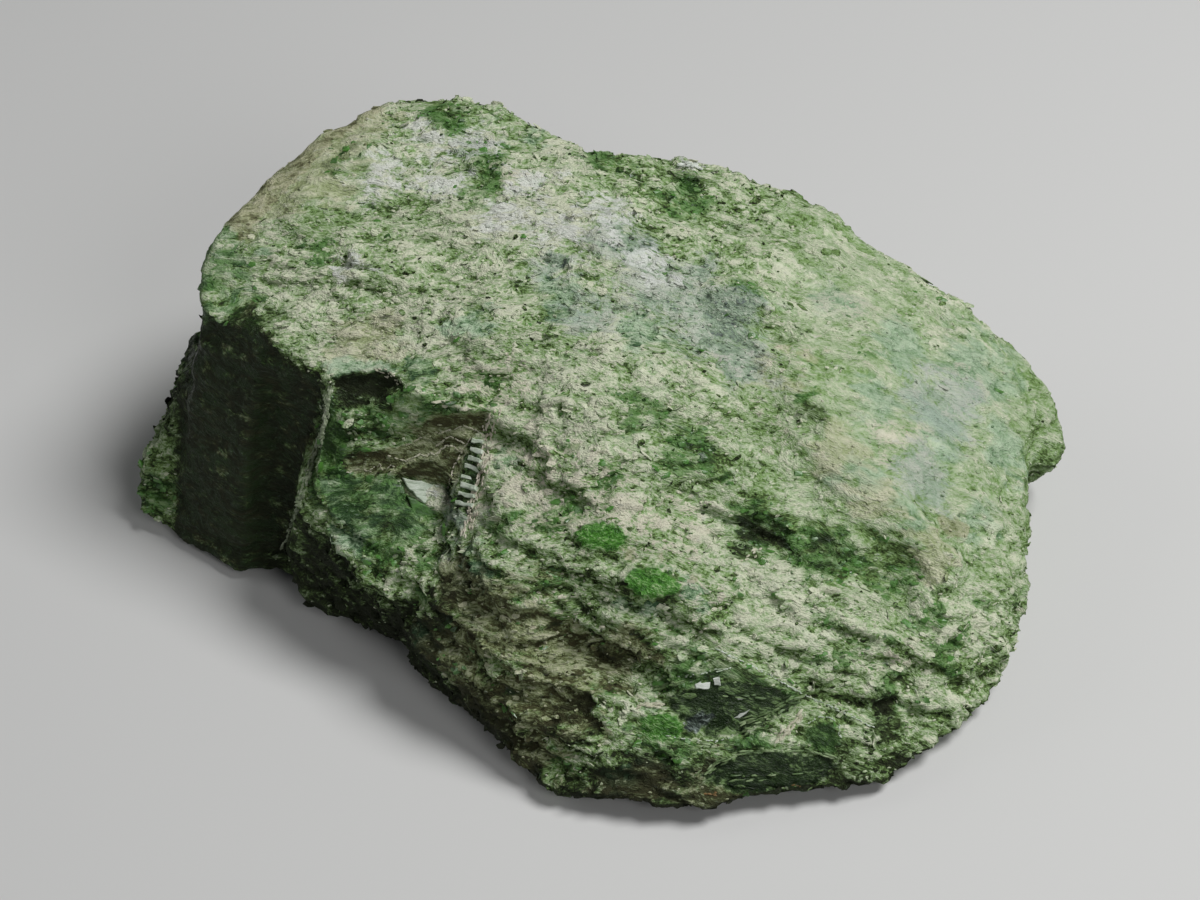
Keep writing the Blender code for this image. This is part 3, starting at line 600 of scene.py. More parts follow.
# %% Write the skin's attributes
# The dark spots, partly painted shade, are made stronger, and weaker on faces that look up, where no shade
# falls
DARK_GAIN = 1.25
DARK_ON_TOP = 0.5
HEIGHT_GAIN = 0.34

skin_data = mesh_of(skin, "rock_skin")
skin_data.shade_smooth()
finished = np.array([vertex.co[:] for vertex in skin_data.vertices]) / MM
stone_tree = BVHTree.FromPolygons([vertex.co for vertex in skin_data.vertices],
                                  [tuple(face.vertices) for face in skin_data.polygons])


def write_attribute(mesh, name, values):
    layer = mesh.attributes.new(name, "FLOAT", "POINT")
    layer.data.foreach_set("value", np.asarray(values, dtype=np.float32))


def write_kinds(mesh, places, kinds):
    """Put the place in the layers and each kind's strength on a mesh, one value a point."""
    dip = places[:, 0] + np.sqrt(places[:, 0] ** 2 + LAYER_BEND ** 2)
    height = places[:, 2] + LAYER_LEAN * places[:, 1] + LAYER_DIP * dip
    layer = mesh.attributes.new("in_layers", "FLOAT_VECTOR", "POINT")
    rows = np.stack((places[:, 0], places[:, 1], height), axis=1).astype(np.float32)
    layer.data.foreach_set("vector", rows.ravel())
    for kind in KINDS:
        write_attribute(mesh, kind, kinds[kind])


for kind, seen in SEEN.items():
    KINDS[kind] += tuple((*on_stone(u, v)[0], radius) for u, v, radius in seen)
pushed = wandered(finished)
strengths = {kind: spot_strengths(pushed, spots) for kind, spots in KINDS.items()}
# Painted shade: the dark spots strengthened and kept off the faces that look up
strengths["dark"] = np.clip(DARK_GAIN * strengths["dark"], 0.0, 1.0)
strengths["dark"] *= 1.0 - DARK_ON_TOP * np.clip(upward, 0.0, 1.0)
for corners, kinds, *plane in FACETS:
    share = facet_shares(start, corners)
    for kind in KINDS:
        strengths[kind] = strengths[kind] * (1.0 - share) + kinds.get(kind, 0.0) * share
write_kinds(skin_data, finished, strengths)
# The relief height and the upward facing, which the material turns into painted shade in the gaps and painted
# light on what faces up
write_attribute(skin_data, "fine_height", np.clip(0.5 + HEIGHT_GAIN * fine_height, 0.0, 1.0))
write_attribute(skin_data, "upward", np.clip(upward, 0.0, 1.0))
write_attribute(skin_data, "own_tone", np.zeros(len(finished)))
print("attributes", [layer.name for layer in skin_data.attributes])

# %% [markdown]
# ## The rock material
# A powdery cream to sage skin lies over green grains. The colour runs from dark green in the gaps, partly
# painted shade, through mid green to cream on what stands out and faces up, partly painted light, and the
# soft spots pull it towards emerald, white, grey-blue, brown or pink, or towards near black where the dark
# spots lay the stone's dark mineral and painted shade. Small helpers keep the node code short.

# %% Helpers to build node trees
def new_material(name):
    material = bpy.data.materials.new(name)
    material.use_nodes = True
    return material, material.node_tree, material.node_tree.nodes["Principled BSDF"]


def add_node(tree, kind, **settings):
    made = tree.nodes.new(kind)
    for key, value in settings.items():
        setattr(made, key, value)
    return made


def feed(tree, socket, value):
    """Link a socket to another, or set it to a plain value."""
    if isinstance(value, bpy.types.NodeSocket):
        tree.links.new(value, socket)
    else:
        socket.default_value = value


def math_node(tree, operation, first, second):
    made = add_node(tree, "ShaderNodeMath", operation=operation)
    feed(tree, made.inputs[0], first)
    feed(tree, made.inputs[1], second)
    return made.outputs[0]


def attribute(tree, name, output="Fac"):
    return add_node(tree, "ShaderNodeAttribute", attribute_name=name).outputs[output]


def noise_value(tree, vector, scale, detail=4.0, rough=0.55, distortion=0.0, output="Fac"):
    made = add_node(tree, "ShaderNodeTexNoise")
    feed(tree, made.inputs["Vector"], vector)
    for name, value in (("Scale", scale), ("Detail", detail), ("Roughness", rough),
                        ("Distortion", distortion)):
        made.inputs[name].default_value = value
    return made.outputs[output]


def stretched(tree, vector, scale):
    made = add_node(tree, "ShaderNodeVectorMath", operation="MULTIPLY")
    feed(tree, made.inputs[0], vector)
    made.inputs[1].default_value = scale
    return made.outputs["Vector"]


def ramp(tree, factor, *stops):
    made = add_node(tree, "ShaderNodeValToRGB")
    elements = made.color_ramp.elements
    while len(elements) < len(stops):
        elements.new(0.5)
    for element, (position, colour) in zip(elements, stops):
        element.position = position
        element.color = (*colour, 1.0)
    feed(tree, made.inputs["Fac"], factor)
    return made.outputs["Color"]


def step(tree, value, low, high):
    made = add_node(tree, "ShaderNodeMapRange")
    made.interpolation_type = "SMOOTHSTEP"
    feed(tree, made.inputs["Value"], value)
    made.inputs["From Min"].default_value = low
    made.inputs["From Max"].default_value = high
    return made.outputs["Result"]


def mix(tree, factor, first, second):
    made = add_node(tree, "ShaderNodeMix", data_type="RGBA")
    feed(tree, made.inputs["Factor"], factor)
    for socket, value in ((made.inputs[6], first), (made.inputs[7], second)):
        feed(tree, socket, (*value, 1.0) if isinstance(value, tuple) else value)
    return made.outputs[2]


def weighted(tree, parts, start=0.0):
    """The sum of some sockets, each times its weight."""
    total = start
    for value, weight in parts:
        total = math_node(tree, "ADD", math_node(tree, "MULTIPLY", value, weight), total)
    return total


def add_bump(tree, shader, height, depth, strength):
    bump = add_node(tree, "ShaderNodeBump")
    bump.inputs["Strength"].default_value = strength
    bump.inputs["Distance"].default_value = depth * MM
    feed(tree, bump.inputs["Height"], height)
    feed(tree, shader.inputs["Normal"], bump.outputs["Normal"])


# %% Colours of the rock
DARK_GREEN = (0.020, 0.028, 0.009)
DEEP_GREEN = (0.075, 0.125, 0.032)
MID_GREEN = (0.200, 0.330, 0.105)
SAGE = (0.390, 0.500, 0.290)
CREAM = (0.680, 0.710, 0.530)
EMERALD_GREEN = (0.078, 0.225, 0.030)
FOREST_GREEN = (0.024, 0.075, 0.012)
CHALK = (0.760, 0.780, 0.740)
STEEL_BLUE = (0.360, 0.430, 0.430)
UMBER = (0.098, 0.088, 0.038)
TAN = (0.370, 0.365, 0.215)
GEM_DEEP = (0.022, 0.095, 0.010)
GEM_GREEN = (0.080, 0.270, 0.030)
GEM_SPARK = (0.420, 0.600, 0.280)
GLASS_DARK = (0.009, 0.024, 0.005)
GLASS_LIT = (0.125, 0.225, 0.065)
SLATE_DARK = (0.030, 0.040, 0.040)
TEAL_DEEP = (0.070, 0.170, 0.080)
TEAL_LIGHT = (0.420, 0.570, 0.390)
STRAW_YELLOW = (0.600, 0.560, 0.380)
ROSE = (0.680, 0.590, 0.500)
NEAR_BLACK = (0.013, 0.018, 0.006)

# %% The grain of the ground, streaked along the layers, and its tone from dark gap to cream, with painted shade in the gaps and painted light on what faces up
CALM_TONE = 0.66
CALM_SHARE = 0.5

rock_material, tree, shader = new_material("diopside_rock_skin")
place = attribute(tree, "in_layers", "Vector")
bent = add_node(tree, "ShaderNodeVectorMath", operation="MULTIPLY_ADD")
bend = noise_value(tree, stretched(tree, place, (0.25, 0.3, 0.4)), 1.0, 2.0, 0.5, output="Color")
feed(tree, bent.inputs[0], bend)
bent.inputs[1].default_value = (2.0, 2.0, 1.2)
feed(tree, bent.inputs[2], place)
streaky = stretched(tree, bent.outputs["Vector"], (0.85, 1.75, 2.3))
broad = noise_value(tree, place, 0.30, 3.0, 0.55)
flecks = noise_value(tree, streaky, 1.0, 4.0, 0.62, 0.25)
crumbs = noise_value(tree, streaky, 2.7, 3.0, 0.65)
tiny = noise_value(tree, streaky, 6.0, 2.0, 0.6)
seams = noise_value(tree, streaky, 0.8, 4.0, 0.6, 0.5)
scales = add_node(tree, "ShaderNodeTexVoronoi")
feed(tree, scales.inputs["Vector"], streaky)
scales.inputs["Scale"].default_value = 1.35
scale_split = add_node(tree, "ShaderNodeSeparateColor")
feed(tree, scale_split.inputs["Color"], scales.outputs["Color"])
scale_tone, scale_hue = scale_split.outputs["Red"], scale_split.outputs["Green"]

# Painted light and shade in the tone: raised points (fine_height) and points facing up (upward) are lighter,
# gaps and the dark spots darker, beside the grain noise and the kinds
tone = weighted(tree, (
    (flecks, 1.35), (crumbs, 1.45), (tiny, 1.00), (scale_tone, 0.20), (broad, 0.22),
    *((attribute(tree, name), weight) for name, weight in (
        ("fine_height", 0.70), ("upward", 0.34), ("own_tone", 1.0), ("pale", 0.24), ("dark", -0.45),
        ("emerald", -0.10), ("brown", -0.12), ("white", 0.22))),
), -2.01)
softer = math_node(tree, "MULTIPLY", math_node(tree, "SUBTRACT", CALM_TONE, tone), attribute(tree, "calm"))
tone = math_node(tree, "ADD", tone, math_node(tree, "MULTIPLY", softer, CALM_SHARE))
colour = ramp(tree, tone, (0.05, DARK_GREEN), (0.27, DEEP_GREEN), (0.46, MID_GREEN), (0.68, SAGE),
              (1.02, CREAM))
cream_amount = step(tree, tone, 0.60, 0.90)


# %% Lay each kind's colour over the ground
def by_tone(low, high, dark, light):
    return mix(tree, step(tree, tone, low, high), dark, light)


gem_tone = weighted(tree, ((crumbs, 0.9), (tiny, 0.5), (flecks, 0.6)), -0.50)
# kind, its weight, the other parts of its share, the edges of the step, strength, colour
TINTS = (
    ("teal", 0.55, ((broad, 0.7), (scale_hue, 0.25)), (0.55, 0.95), 0.75,
     by_tone(0.1, 0.95, TEAL_DEEP, TEAL_LIGHT)),
    ("emerald", 0.50, ((seams, 0.75), (crumbs, 0.50), (scale_hue, 0.20)), (0.95, 1.20), 0.84,
     by_tone(0.25, 0.80, FOREST_GREEN, EMERALD_GREEN)),
    ("brown", 0.55, ((flecks, 1.0), (scale_hue, -0.12)), (0.58, 0.85), 0.62, by_tone(0.1, 0.8, UMBER, TAN)),
    ("straw", 0.70, ((flecks, 0.6), (scale_hue, 0.15)), (0.50, 0.85), 0.42,
     by_tone(0.0, 0.8, TAN, STRAW_YELLOW)),
    ("pink", 0.55, ((broad, 0.6), (scale_hue, 0.35)), (0.62, 0.95), 0.42, ROSE),
    ("blue", 0.45, ((crumbs, 1.0),), (0.55, 0.90), 0.45, STEEL_BLUE),
    ("white", 0.45, ((crumbs, 0.8), (scale_hue, 0.25)), (0.72, 1.0), 0.75, CHALK),
    ("glass", 1.0, (), (0.25, 0.75), 0.93, by_tone(0.50, 1.00, GLASS_DARK, GLASS_LIT)),
    ("slate", 1.0, (), (0.25, 0.75), 0.9, by_tone(0.3, 1.0, SLATE_DARK, STEEL_BLUE)),
    ("gem", 1.0, (), (0.25, 0.65), 0.95,
     ramp(tree, gem_tone, (0.30, GEM_DEEP), (0.55, GEM_GREEN), (0.78, GEM_SPARK))),
)
amounts = {}
for kind, weight, others, edges, strength, shade in TINTS:
    amount = step(tree, weighted(tree, ((attribute(tree, kind), weight), *others)), *edges)
    if kind == "pink":
        amount = math_node(tree, "MULTIPLY", amount, cream_amount)
    colour = mix(tree, math_node(tree, "MULTIPLY", amount, strength), colour, shade)
    amounts[kind] = amount
# The dark spots lay near black over the colour: the stone's dark mineral and painted shade
dark_and_shade_share = math_node(tree, "MULTIPLY", attribute(tree, "dark"), step(tree, tone, 1.05, 0.25))
colour = mix(tree, math_node(tree, "MULTIPLY", dark_and_shade_share, 0.90), colour, NEAR_BLACK)
feed(tree, shader.inputs["Base Color"], colour)

# %% Its gloss and its bump
rough = (0.72,) * 3
for amount, value in ((amounts["emerald"], 0.30), (cream_amount, 0.88), (amounts["glass"], 0.32),
                      (amounts["gem"], 0.25)):
    rough = mix(tree, amount, rough, (value,) * 3)
feed(tree, shader.inputs["Roughness"], rough)
shader.inputs["IOR"].default_value = 1.5
shader.inputs["Specular IOR Level"].default_value = 0.22
bump_height = weighted(tree, ((crumbs, 0.9), (flecks, 0.5), (tiny, 0.35), (scale_tone, 0.10)))
add_bump(tree, shader, bump_height, 0.27, 1.0)
print("rock material nodes", len(tree.nodes))


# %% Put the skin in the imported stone's place
def add_piece(name, mesh, material):
    """An object of a finished mesh, which rides on the stone's body and takes its finish from its slot."""
    piece = add_object(name, mesh)
    mesh.materials.append(material)
    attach(piece, "root")
    print(name, "triangles", sum(len(face.vertices) - 2 for face in mesh.polygons))
    return piece


rock = add_piece("rock_skin", skin_data, rock_material)
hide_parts("diopside_rock")

# %% [markdown]
# ## Where loose grains and flakes sit
# Grains and flakes are scattered over the skin: a triangle is drawn by its area and by how much of the
# wanted kind it carries, and then a place inside it. The draw has a fixed seed, so each run gives the same
# stone.

# %% Draw places on the skin
skin_data.calc_loop_triangles()
triangle_corners = np.array([triangle.vertices[:] for triangle in skin_data.loop_triangles])
corner_places = finished[triangle_corners]
first_corners = corner_places[:, 0]
triangle_sides = np.cross(corner_places[:, 1] - first_corners, corner_places[:, 2] - first_corners)
double_areas = np.linalg.norm(triangle_sides, axis=1)
triangle_areas = double_areas * 0.5
triangle_normals = triangle_sides / np.maximum(double_areas[:, None], 1e-9)
print("skin area", round(triangle_areas.sum()), "mm2,", len(triangle_areas), "triangles")


def drawn_places(count, weights, seed):
    """Random places and normals on the skin, where weights holds one value for each of its points."""
    dice = np.random.default_rng(seed)
    chance = triangle_areas * weights[triangle_corners].mean(axis=1)
    chosen = dice.choice(len(chance), size=count, p=chance / chance.sum())
    first, second = dice.random((2, count, 1))
    folded = first + second > 1.0
    first, second = np.where(folded, 1.0 - first, first), np.where(folded, 1.0 - second, second)
    base, left, right = (corner_places[chosen, corner] for corner in range(3))
    places = base + first * (left - base) + second * (right - base)
    return places, triangle_normals[chosen], triangle_corners[chosen, 0]


# %% [markdown]
# ## Flakes
# Where the layers broke, thin scales of the powdery ground still cling, half a millimetre to a millimetre
# long, lying along the layers with their edges standing up, with finer crumbs between them. Each is a small
# ball with twenty faces, pressed flat, with its corners moved a little so that no two look alike. They are
# made in batches, because adding to a short mesh is quick.

# %% One flake and a batch of flakes
FLAKES_IN_BATCH = 250
LENGTH_BIAS = 2.2


def flake_frame(place, normal, dice, lean, spread):
    """The axes of a flake: flat between the layers and the surface, long roughly along the layers' edges."""
    up = (Vector(normal) * (1.0 - lean) + layer_up(Vector(place)) * lean).normalized()
    up = (up + Vector(dice.normal(0.0, spread, 3))).normalized()
    along = Vector((1.0, dice.normal(0.0, 0.35), dice.normal(0.0, 0.15)))
    along = (along - up * along.dot(up)).normalized()
    return Matrix((along, up.cross(along), up)).transposed()


def flake_rows(count, weights, seed, lengths, flat, thinnest, lift, lean, spread):
    """A (place, frame, size) row for each flake, and the point of the skin next to it."""
    dice = np.random.default_rng(seed)
    places, normals, nearest = drawn_places(count, weights, seed + 1)
    rows = []
    for place, normal in zip(places, normals):
        length = lengths[0] + (lengths[1] - lengths[0]) * dice.random() ** LENGTH_BIAS
        width = length * dice.uniform(0.35, 0.75)
        size = Vector((length, width, max(flat * length, thinnest))) * 0.5
        frame = flake_frame(place, normal, dice, lean, spread)
        rows.append((Vector(place) + Vector(normal) * lift * length, frame, size))
    return rows, nearest


def batch_mesh(rows, dice, wobble):
    """A mesh with a squashed, wobbled ball for each row."""
    shape = bmesh.new()
    for place, frame, size in rows:
        matrix = Matrix.Translation(place) @ (frame @ Matrix.Diagonal(size)).to_4x4()
        made = bmesh.ops.create_icosphere(shape, subdivisions=1, radius=1.0)["verts"]
        shake = dice.uniform(-wobble, wobble, (len(made), 3))
        for vertex, push in zip(made, shake):
            vertex.co = kept_in_box(matrix @ (vertex.co + Vector(push))) * MM
    return mesh_of(shape, "batch")


def scattered(name, rows, seed, wobble):
    """One mesh of all the rows' flakes or grains, and for each of its points the row it belongs to."""
    dice = np.random.default_rng(seed)
    whole = bmesh.new()
    for first in range(0, len(rows), FLAKES_IN_BATCH):
        batch = batch_mesh(rows[first:first + FLAKES_IN_BATCH], dice, wobble)
        whole.from_mesh(batch)
        bpy.data.meshes.remove(batch)
    mesh = mesh_of(whole, name)
    return mesh, np.repeat(np.arange(len(rows)), len(mesh.vertices) // len(rows))


# %% Scatter the scales and the crumbs
FLAKE_HEIGHT = 0.62
DARKER_FLAKES = 0.45
# name, count, thinning on calm ground, first seed, lengths, flatness, thinnest, lift, spread, wobble, tones
LITTER = (
    ("rock_scales", 6500, 0.95, 11, (0.30, 0.95), 0.12, 0.06, 0.0, 0.09, 0.22, (-0.06, 0.26)),
    ("rock_crumbs", 9500, 0.75, 15, (0.15, 0.36), 0.45, 0.07, 0.05, 0.4, 0.30, (0.03, 0.38)),
)
off_ground = np.clip((finished[:, 2] - 0.6) / 1.2, 0.0, 1.0)
calm_here = spot_strengths(finished, KINDS["calm"])
rough_here = off_ground * (1.0 - 0.9 * flatness) * (0.5 + 0.5 * np.clip(upward + 0.4, 0.0, 1.0))
for name, count, thinning, seed, lengths, flat, thinnest, lift, spread, wobble, tones in LITTER:
    weights = rough_here * (1.0 - thinning * calm_here)
    rows, nearest = flake_rows(count, weights, seed, lengths, flat, thinnest, lift, 0.0, spread)
    mesh, owners = scattered(name, rows, seed + 1, wobble)
    own_tones = np.random.default_rng(seed + 2).normal(*tones, len(rows))
    # Flakes in the dark spots are darker too, partly as painted shade
    own_tones -= DARKER_FLAKES * strengths["dark"][nearest]
    points = np.array([vertex.co[:] for vertex in mesh.vertices]) / MM
    write_kinds(mesh, points, {kind: strengths[kind][nearest[owners]] for kind in KINDS})
    write_attribute(mesh, "fine_height", np.full(len(points), FLAKE_HEIGHT))
    # Flakes that face up read lighter in the material: painted light
    write_attribute(mesh, "upward", np.clip([vertex.normal.z for vertex in mesh.vertices], 0.0, 1.0))
    write_attribute(mesh, "own_tone", own_tones[owners])
    add_piece(name, mesh, rock_material)

# %% [markdown]
# ## Emerald grains
# The clean chrome diopside shows as bright green glassy grains. Small ones follow the green seams: angular
# chips half sunk in the ground, whose material lets a little light in. The big ones are part of the skin,
# among the flat faces above.

# %% Build the green grain material
grain_material, tree, shader = new_material("emerald_grain")
coordinates = add_node(tree, "ShaderNodeTexCoord").outputs["Object"]
clouds = noise_value(tree, coordinates, 1400.0, 4.0, 0.6, 0.4)
haze = noise_value(tree, coordinates, 4200.0, 3.0, 0.6)
tone = weighted(tree, ((clouds, 1.1), (attribute(tree, "own_tone"), 0.35), (haze, 0.35)), -0.30)
colour = ramp(tree, tone, (0.30, FOREST_GREEN), (0.62, EMERALD_GREEN), (0.85, GEM_GREEN), (1.0, GEM_SPARK))
feed(tree, shader.inputs["Base Color"], colour)
feed(tree, shader.inputs["Roughness"], ramp(tree, haze, (0.35, (0.32,) * 3), (0.7, (0.6,) * 3)))
shader.inputs["IOR"].default_value = 1.68
shader.inputs["Transmission Weight"].default_value = 0.15
add_bump(tree, shader, clouds, 0.2, 0.5)

# %% Place the grains
GRAINS = 900
grain_weights = off_ground * (strengths["emerald"] ** 1.5 + 0.01 * np.clip(upward, 0.0, 1.0))
grain_weights *= (1.0 - flatness) * (1.0 - 0.8 * strengths["dark"])
rows, nearest = flake_rows(GRAINS, grain_weights, 21, (0.25, 0.85), 0.30, 0.12, -0.08, 0.2, 0.2)
mesh, owners = scattered("emerald_grains", rows, 23, 0.26)
write_attribute(mesh, "own_tone", np.random.default_rng(24).random(len(rows))[owners])
add_piece("emerald_grains", mesh, grain_material)

# %% [markdown]
# ## Chips and lit edges, the smallest sharp pieces
# What is finer than the skin's grid is made as pieces of its own. A chip is a polygon of pixels laid on the
# plane that best fits the stone there, made solid and given a narrow bevel, and sunk into the skin so that
# only its face and edges show. A lit edge of a broken layer is a row of small flakes laid end to end,
# because on the stone it is ragged and interrupted.

# %% One chip
EDGE_CUTS = 3
CHIP_BEVEL = 0.05
CHIP_RAGGED = 0.13
SHARP_EDGE = 0.9


def chip(shape, pixels, lift, depth, lean=(0.0, 0.0, 0.0), ragged=CHIP_RAGGED):
    level, facing = fitted_plane(pixels, lift, lean)
    piece = bmesh.new()
    corners = [piece.verts.new(on_plane(sight(u, v), level, facing) * MM) for u, v in pixels]
    bmesh.ops.contextual_create(piece, geom=corners)
    bmesh.ops.subdivide_edges(piece, edges=piece.edges[:], cuts=EDGE_CUTS)
    for vertex in piece.verts:
        push = ragged * noise.noise_vector(vertex.co / MM * 2.3) * 2.0
        vertex.co += (push - facing * push.dot(facing)) * MM
    piece.normal_update()
    if sum(face.normal.dot(facing) for face in piece.faces) < 0.0:
        bmesh.ops.reverse_faces(piece, faces=piece.faces[:])
    bmesh.ops.solidify(piece, geom=piece.faces[:], thickness=depth * MM)
    piece.normal_update()
    top_edges = [edge for edge in piece.edges if edge.calc_face_angle(0.0) > SHARP_EDGE
                 and all((vertex.co / MM - level).dot(facing) > -0.05 for vertex in edge.verts)]
    bmesh.ops.bevel(piece, geom=top_edges, offset=CHIP_BEVEL * MM, offset_type="OFFSET", affect="EDGES",
                    segments=1, profile=0.5, material=-1, clamp_overlap=True)
    bmesh.ops.recalc_face_normals(piece, faces=piece.faces)
    for vertex in piece.verts:
        vertex.co = kept_in_box(vertex.co / MM) * MM
    mesh = mesh_of(piece, "chip")
    shape.from_mesh(mesh)
    bpy.data.meshes.remove(mesh)


def chips_piece(name, material, *rows):
    """One piece of some chips, each a row of what chip() takes after the shape."""
    shape = bmesh.new()
    for row in rows:
        chip(shape, *row)
    add_piece(name, mesh_of(shape, name), material)


# %% A lit edge
FLAKE_PITCH = 1.7
FLAKE_LIFT = 0.03
FLAKE_WOBBLE = 0.28


def lit_edge(rows, pixels, size, gap, spread, slim, dice):
    """Small flakes laid end to end along a line of pixels, some of them missing."""
    for (u0, v0), (u1, v1) in zip(pixels, pixels[1:]):
        count = max(1, round(math.hypot(u1 - u0, v1 - v0) / FLAKE_PITCH))
        for place in range(count):
            if dice.random() < gap:
                continue
            share = (place + dice.random()) / count
            u = u0 + (u1 - u0) * share + dice.normal(0.0, spread)
            v = v0 + (v1 - v0) * share + dice.normal(0.0, spread)
            point, normal = on_stone(u, v)
            along = on_stone(u + (u1 - u0) * 0.2, v + (v1 - v0) * 0.2)[0] - point
            along = (along - normal * along.dot(normal)).normalized()
            frame = Matrix((along, normal.cross(along), normal)).transposed()
            sides = Vector((size * dice.uniform(0.6, 1.5), size * slim, size * slim)) * 0.5
            rows.append((point + normal * FLAKE_LIFT, frame, sides))


def edge_piece(name, lines, material, seed, slim=0.42):
    """One piece of lit edges; lines are (pixels, flake size, gap, spread) rows."""
    rows = []
    dice = np.random.default_rng(seed)
    for line in lines:
        lit_edge(rows, *line, slim, dice)
    add_piece(name, scattered(name, rows, seed + 1, FLAKE_WOBBLE)[0], material)


# %% [markdown]
# ## The finishes of the small pieces
# The clean faces and edges need plainer finishes than the ground: each is three tones of one mineral,
# streaked along the layers, with its own gloss. One helper builds them all.

# %% A helper for streaked mineral finishes
STREAKS = (600.0, 1600.0, 2400.0)


def mineral(name, dark, middle, light, low, high):
    """A finish of three tones, with a roughness from low to high."""
    material, tree, shader = new_material(name)
    streaks = stretched(tree, add_node(tree, "ShaderNodeTexCoord").outputs["Object"], STREAKS)
    wide = noise_value(tree, streaks, 0.9, 5.0, 0.62, 0.3)
    fine = noise_value(tree, streaks, 3.2, 3.0, 0.65)
    tone = weighted(tree, ((wide, 1.1), (fine, 0.7)), -0.40)
    feed(tree, shader.inputs["Base Color"], ramp(tree, tone, (0.25, dark), (0.50, middle), (0.80, light)))
    feed(tree, shader.inputs["Roughness"], ramp(tree, fine, (0.35, (low,) * 3), (0.65, (high,) * 3)))
    shader.inputs["IOR"].default_value = 1.62
    add_bump(tree, shader, weighted(tree, ((wide, 1.0), (fine, 0.6))), 0.12, 0.8)
    return material


pale_face = mineral("pale_cleavage_face", (0.300, 0.380, 0.260), (0.520, 0.600, 0.480), (0.760, 0.800, 0.720),
                    0.35, 0.6)
# Cream for powder on edges and patches, and as a painted highlight along the lit ledges of the risers
cream_face = mineral("cream_powder_and_highlight", (0.330, 0.330, 0.210), (0.560, 0.550, 0.410), (0.740, 0.720, 0.600),
                     0.6, 0.85)
rosy_face = mineral("rosy_cream_border", (0.380, 0.340, 0.255), (0.590, 0.545, 0.440), (0.730, 0.690, 0.590),
                    0.6, 0.85)
streak_green = mineral("streak_green", (0.050, 0.105, 0.028), (0.150, 0.240, 0.085), (0.380, 0.470, 0.270),
                       0.4, 0.7)
rust_face = mineral("rust_speck", (0.070, 0.045, 0.012), (0.190, 0.110, 0.030), (0.330, 0.210, 0.090),
                    0.6, 0.85)
knob_white = mineral("knob_white", (0.420, 0.470, 0.400), (0.620, 0.660, 0.600), (0.780, 0.800, 0.760),
                     0.6, 0.85)
blade_face = mineral("blade_green_grey", (0.070, 0.110, 0.045), (0.260, 0.320, 0.190), (0.600, 0.640, 0.500),
                     0.3, 0.6)
print("finishes", len(bpy.data.materials))

# %% [markdown]
# ## The pocket
# Left of the middle, under a brow, the layers stepped down in flat brown risers with bright ragged edges. A
# pale triangular face and a green grain lie at their foot, and a short ladder of little steps climbs the
# right side between a thin border and a rosy one.

# %% Bright ragged edges of the risers, cream partly for the powder and partly as a painted highlight on the lit ledges
edge_piece("riser_edges", (
    (((389, 456), (400, 459), (406, 461), (413, 458), (420, 454), (426, 456), (430, 453), (437, 455)), 0.21,
      0.2, 0.4),
    (((436, 455), (440, 450), (446, 446), (453, 447), (461, 452)), 0.25, 0.05, 0.4),
    (((436, 446), (441, 442), (446, 438), (450, 436), (456, 438), (464, 443)), 0.21, 0.1, 0.4),
    (((436, 434), (446, 431), (455, 429), (463, 425), (471, 428), (477, 431), (482, 435)), 0.19, 0.1, 0.4),
    (((346, 473), (356, 469), (366, 471), (374, 468), (380, 464), (383, 470), (390, 466), (398, 466)), 0.15,
      0.4, 0.6),
    (((377, 369), (386, 373), (395, 377), (401, 384)), 0.24, 0.2, 1.5),
    (((404, 446), (413, 442), (420, 438), (432, 436)), 0.14, 0.4, 0.5),
), cream_face, 31)

# %% The pale face and the ladder of little steps
chips_piece("pale_triangle", pale_face, (
    ((402, 478), (420, 481), (443, 486), (448, 492), (445, 502), (439, 508), (429, 506), (419, 499),
     (409, 489)), 0.05, 0.6, (0.0, -0.1, 0.1), 0.06))
chips_piece(
    "pocket_emeralds", grain_material,
    (((408, 497), (419, 502), (429, 509), (437, 511), (433, 519), (424, 520), (413, 510)), 0.08, 0.6,
     (0.0, -0.1, 0.0), 0.07),
    (((392, 482), (400, 484), (405, 492), (402, 498), (394, 493)), 0.05, 0.5, (0.0, 0.0, 0.0), 0.07))
LADDER_STEPS = 8
LADDER_TREAD = 0.45
LADDER_LEFT = ((472, 438), (453, 508))
LADDER_RIGHT = ((484, 441), (470, 512))


def along_line(line, share):
    (u0, v0), (u1, v1) = line
    return (u0 + (u1 - u0) * share, v0 + (v1 - v0) * share)


def rung(number):
    """The four pixel corners of one step of the ladder."""
    top, foot = number / LADDER_STEPS, (number + LADDER_TREAD) / LADDER_STEPS
    return (along_line(LADDER_LEFT, top), along_line(LADDER_RIGHT, top), along_line(LADDER_RIGHT, foot),
            along_line(LADDER_LEFT, foot))


# The rungs are pale partly as a painted highlight on the lit tops of the little steps
chips_piece("ladder_rungs", pale_face,
            *((rung(number), 0.19, 0.45, (0.0, 0.0, 0.1), 0.06) for number in range(LADDER_STEPS)))
edge_piece("ladder_borders", (
    (((493, 410), (486, 424), (485, 445), (481, 465), (473, 495), (467, 518), (464, 536)), 0.27, 0.1, 1.6),
    (((497, 412), (492, 426), (490, 446), (486, 466), (478, 496), (470, 526)), 0.27, 0.25, 2.2),
    (((470, 438), (463, 450), (455, 464), (451, 476), (447, 492), (450, 510)), 0.17, 0.1, 0.4),
), rosy_face, 35)

# %% [markdown]
# ## The blade
# At the pocket's left the shaded face ends in a thin bright blade of a crystal that stands on edge. It is
# streaked, so it is laid from three rows of long flakes.

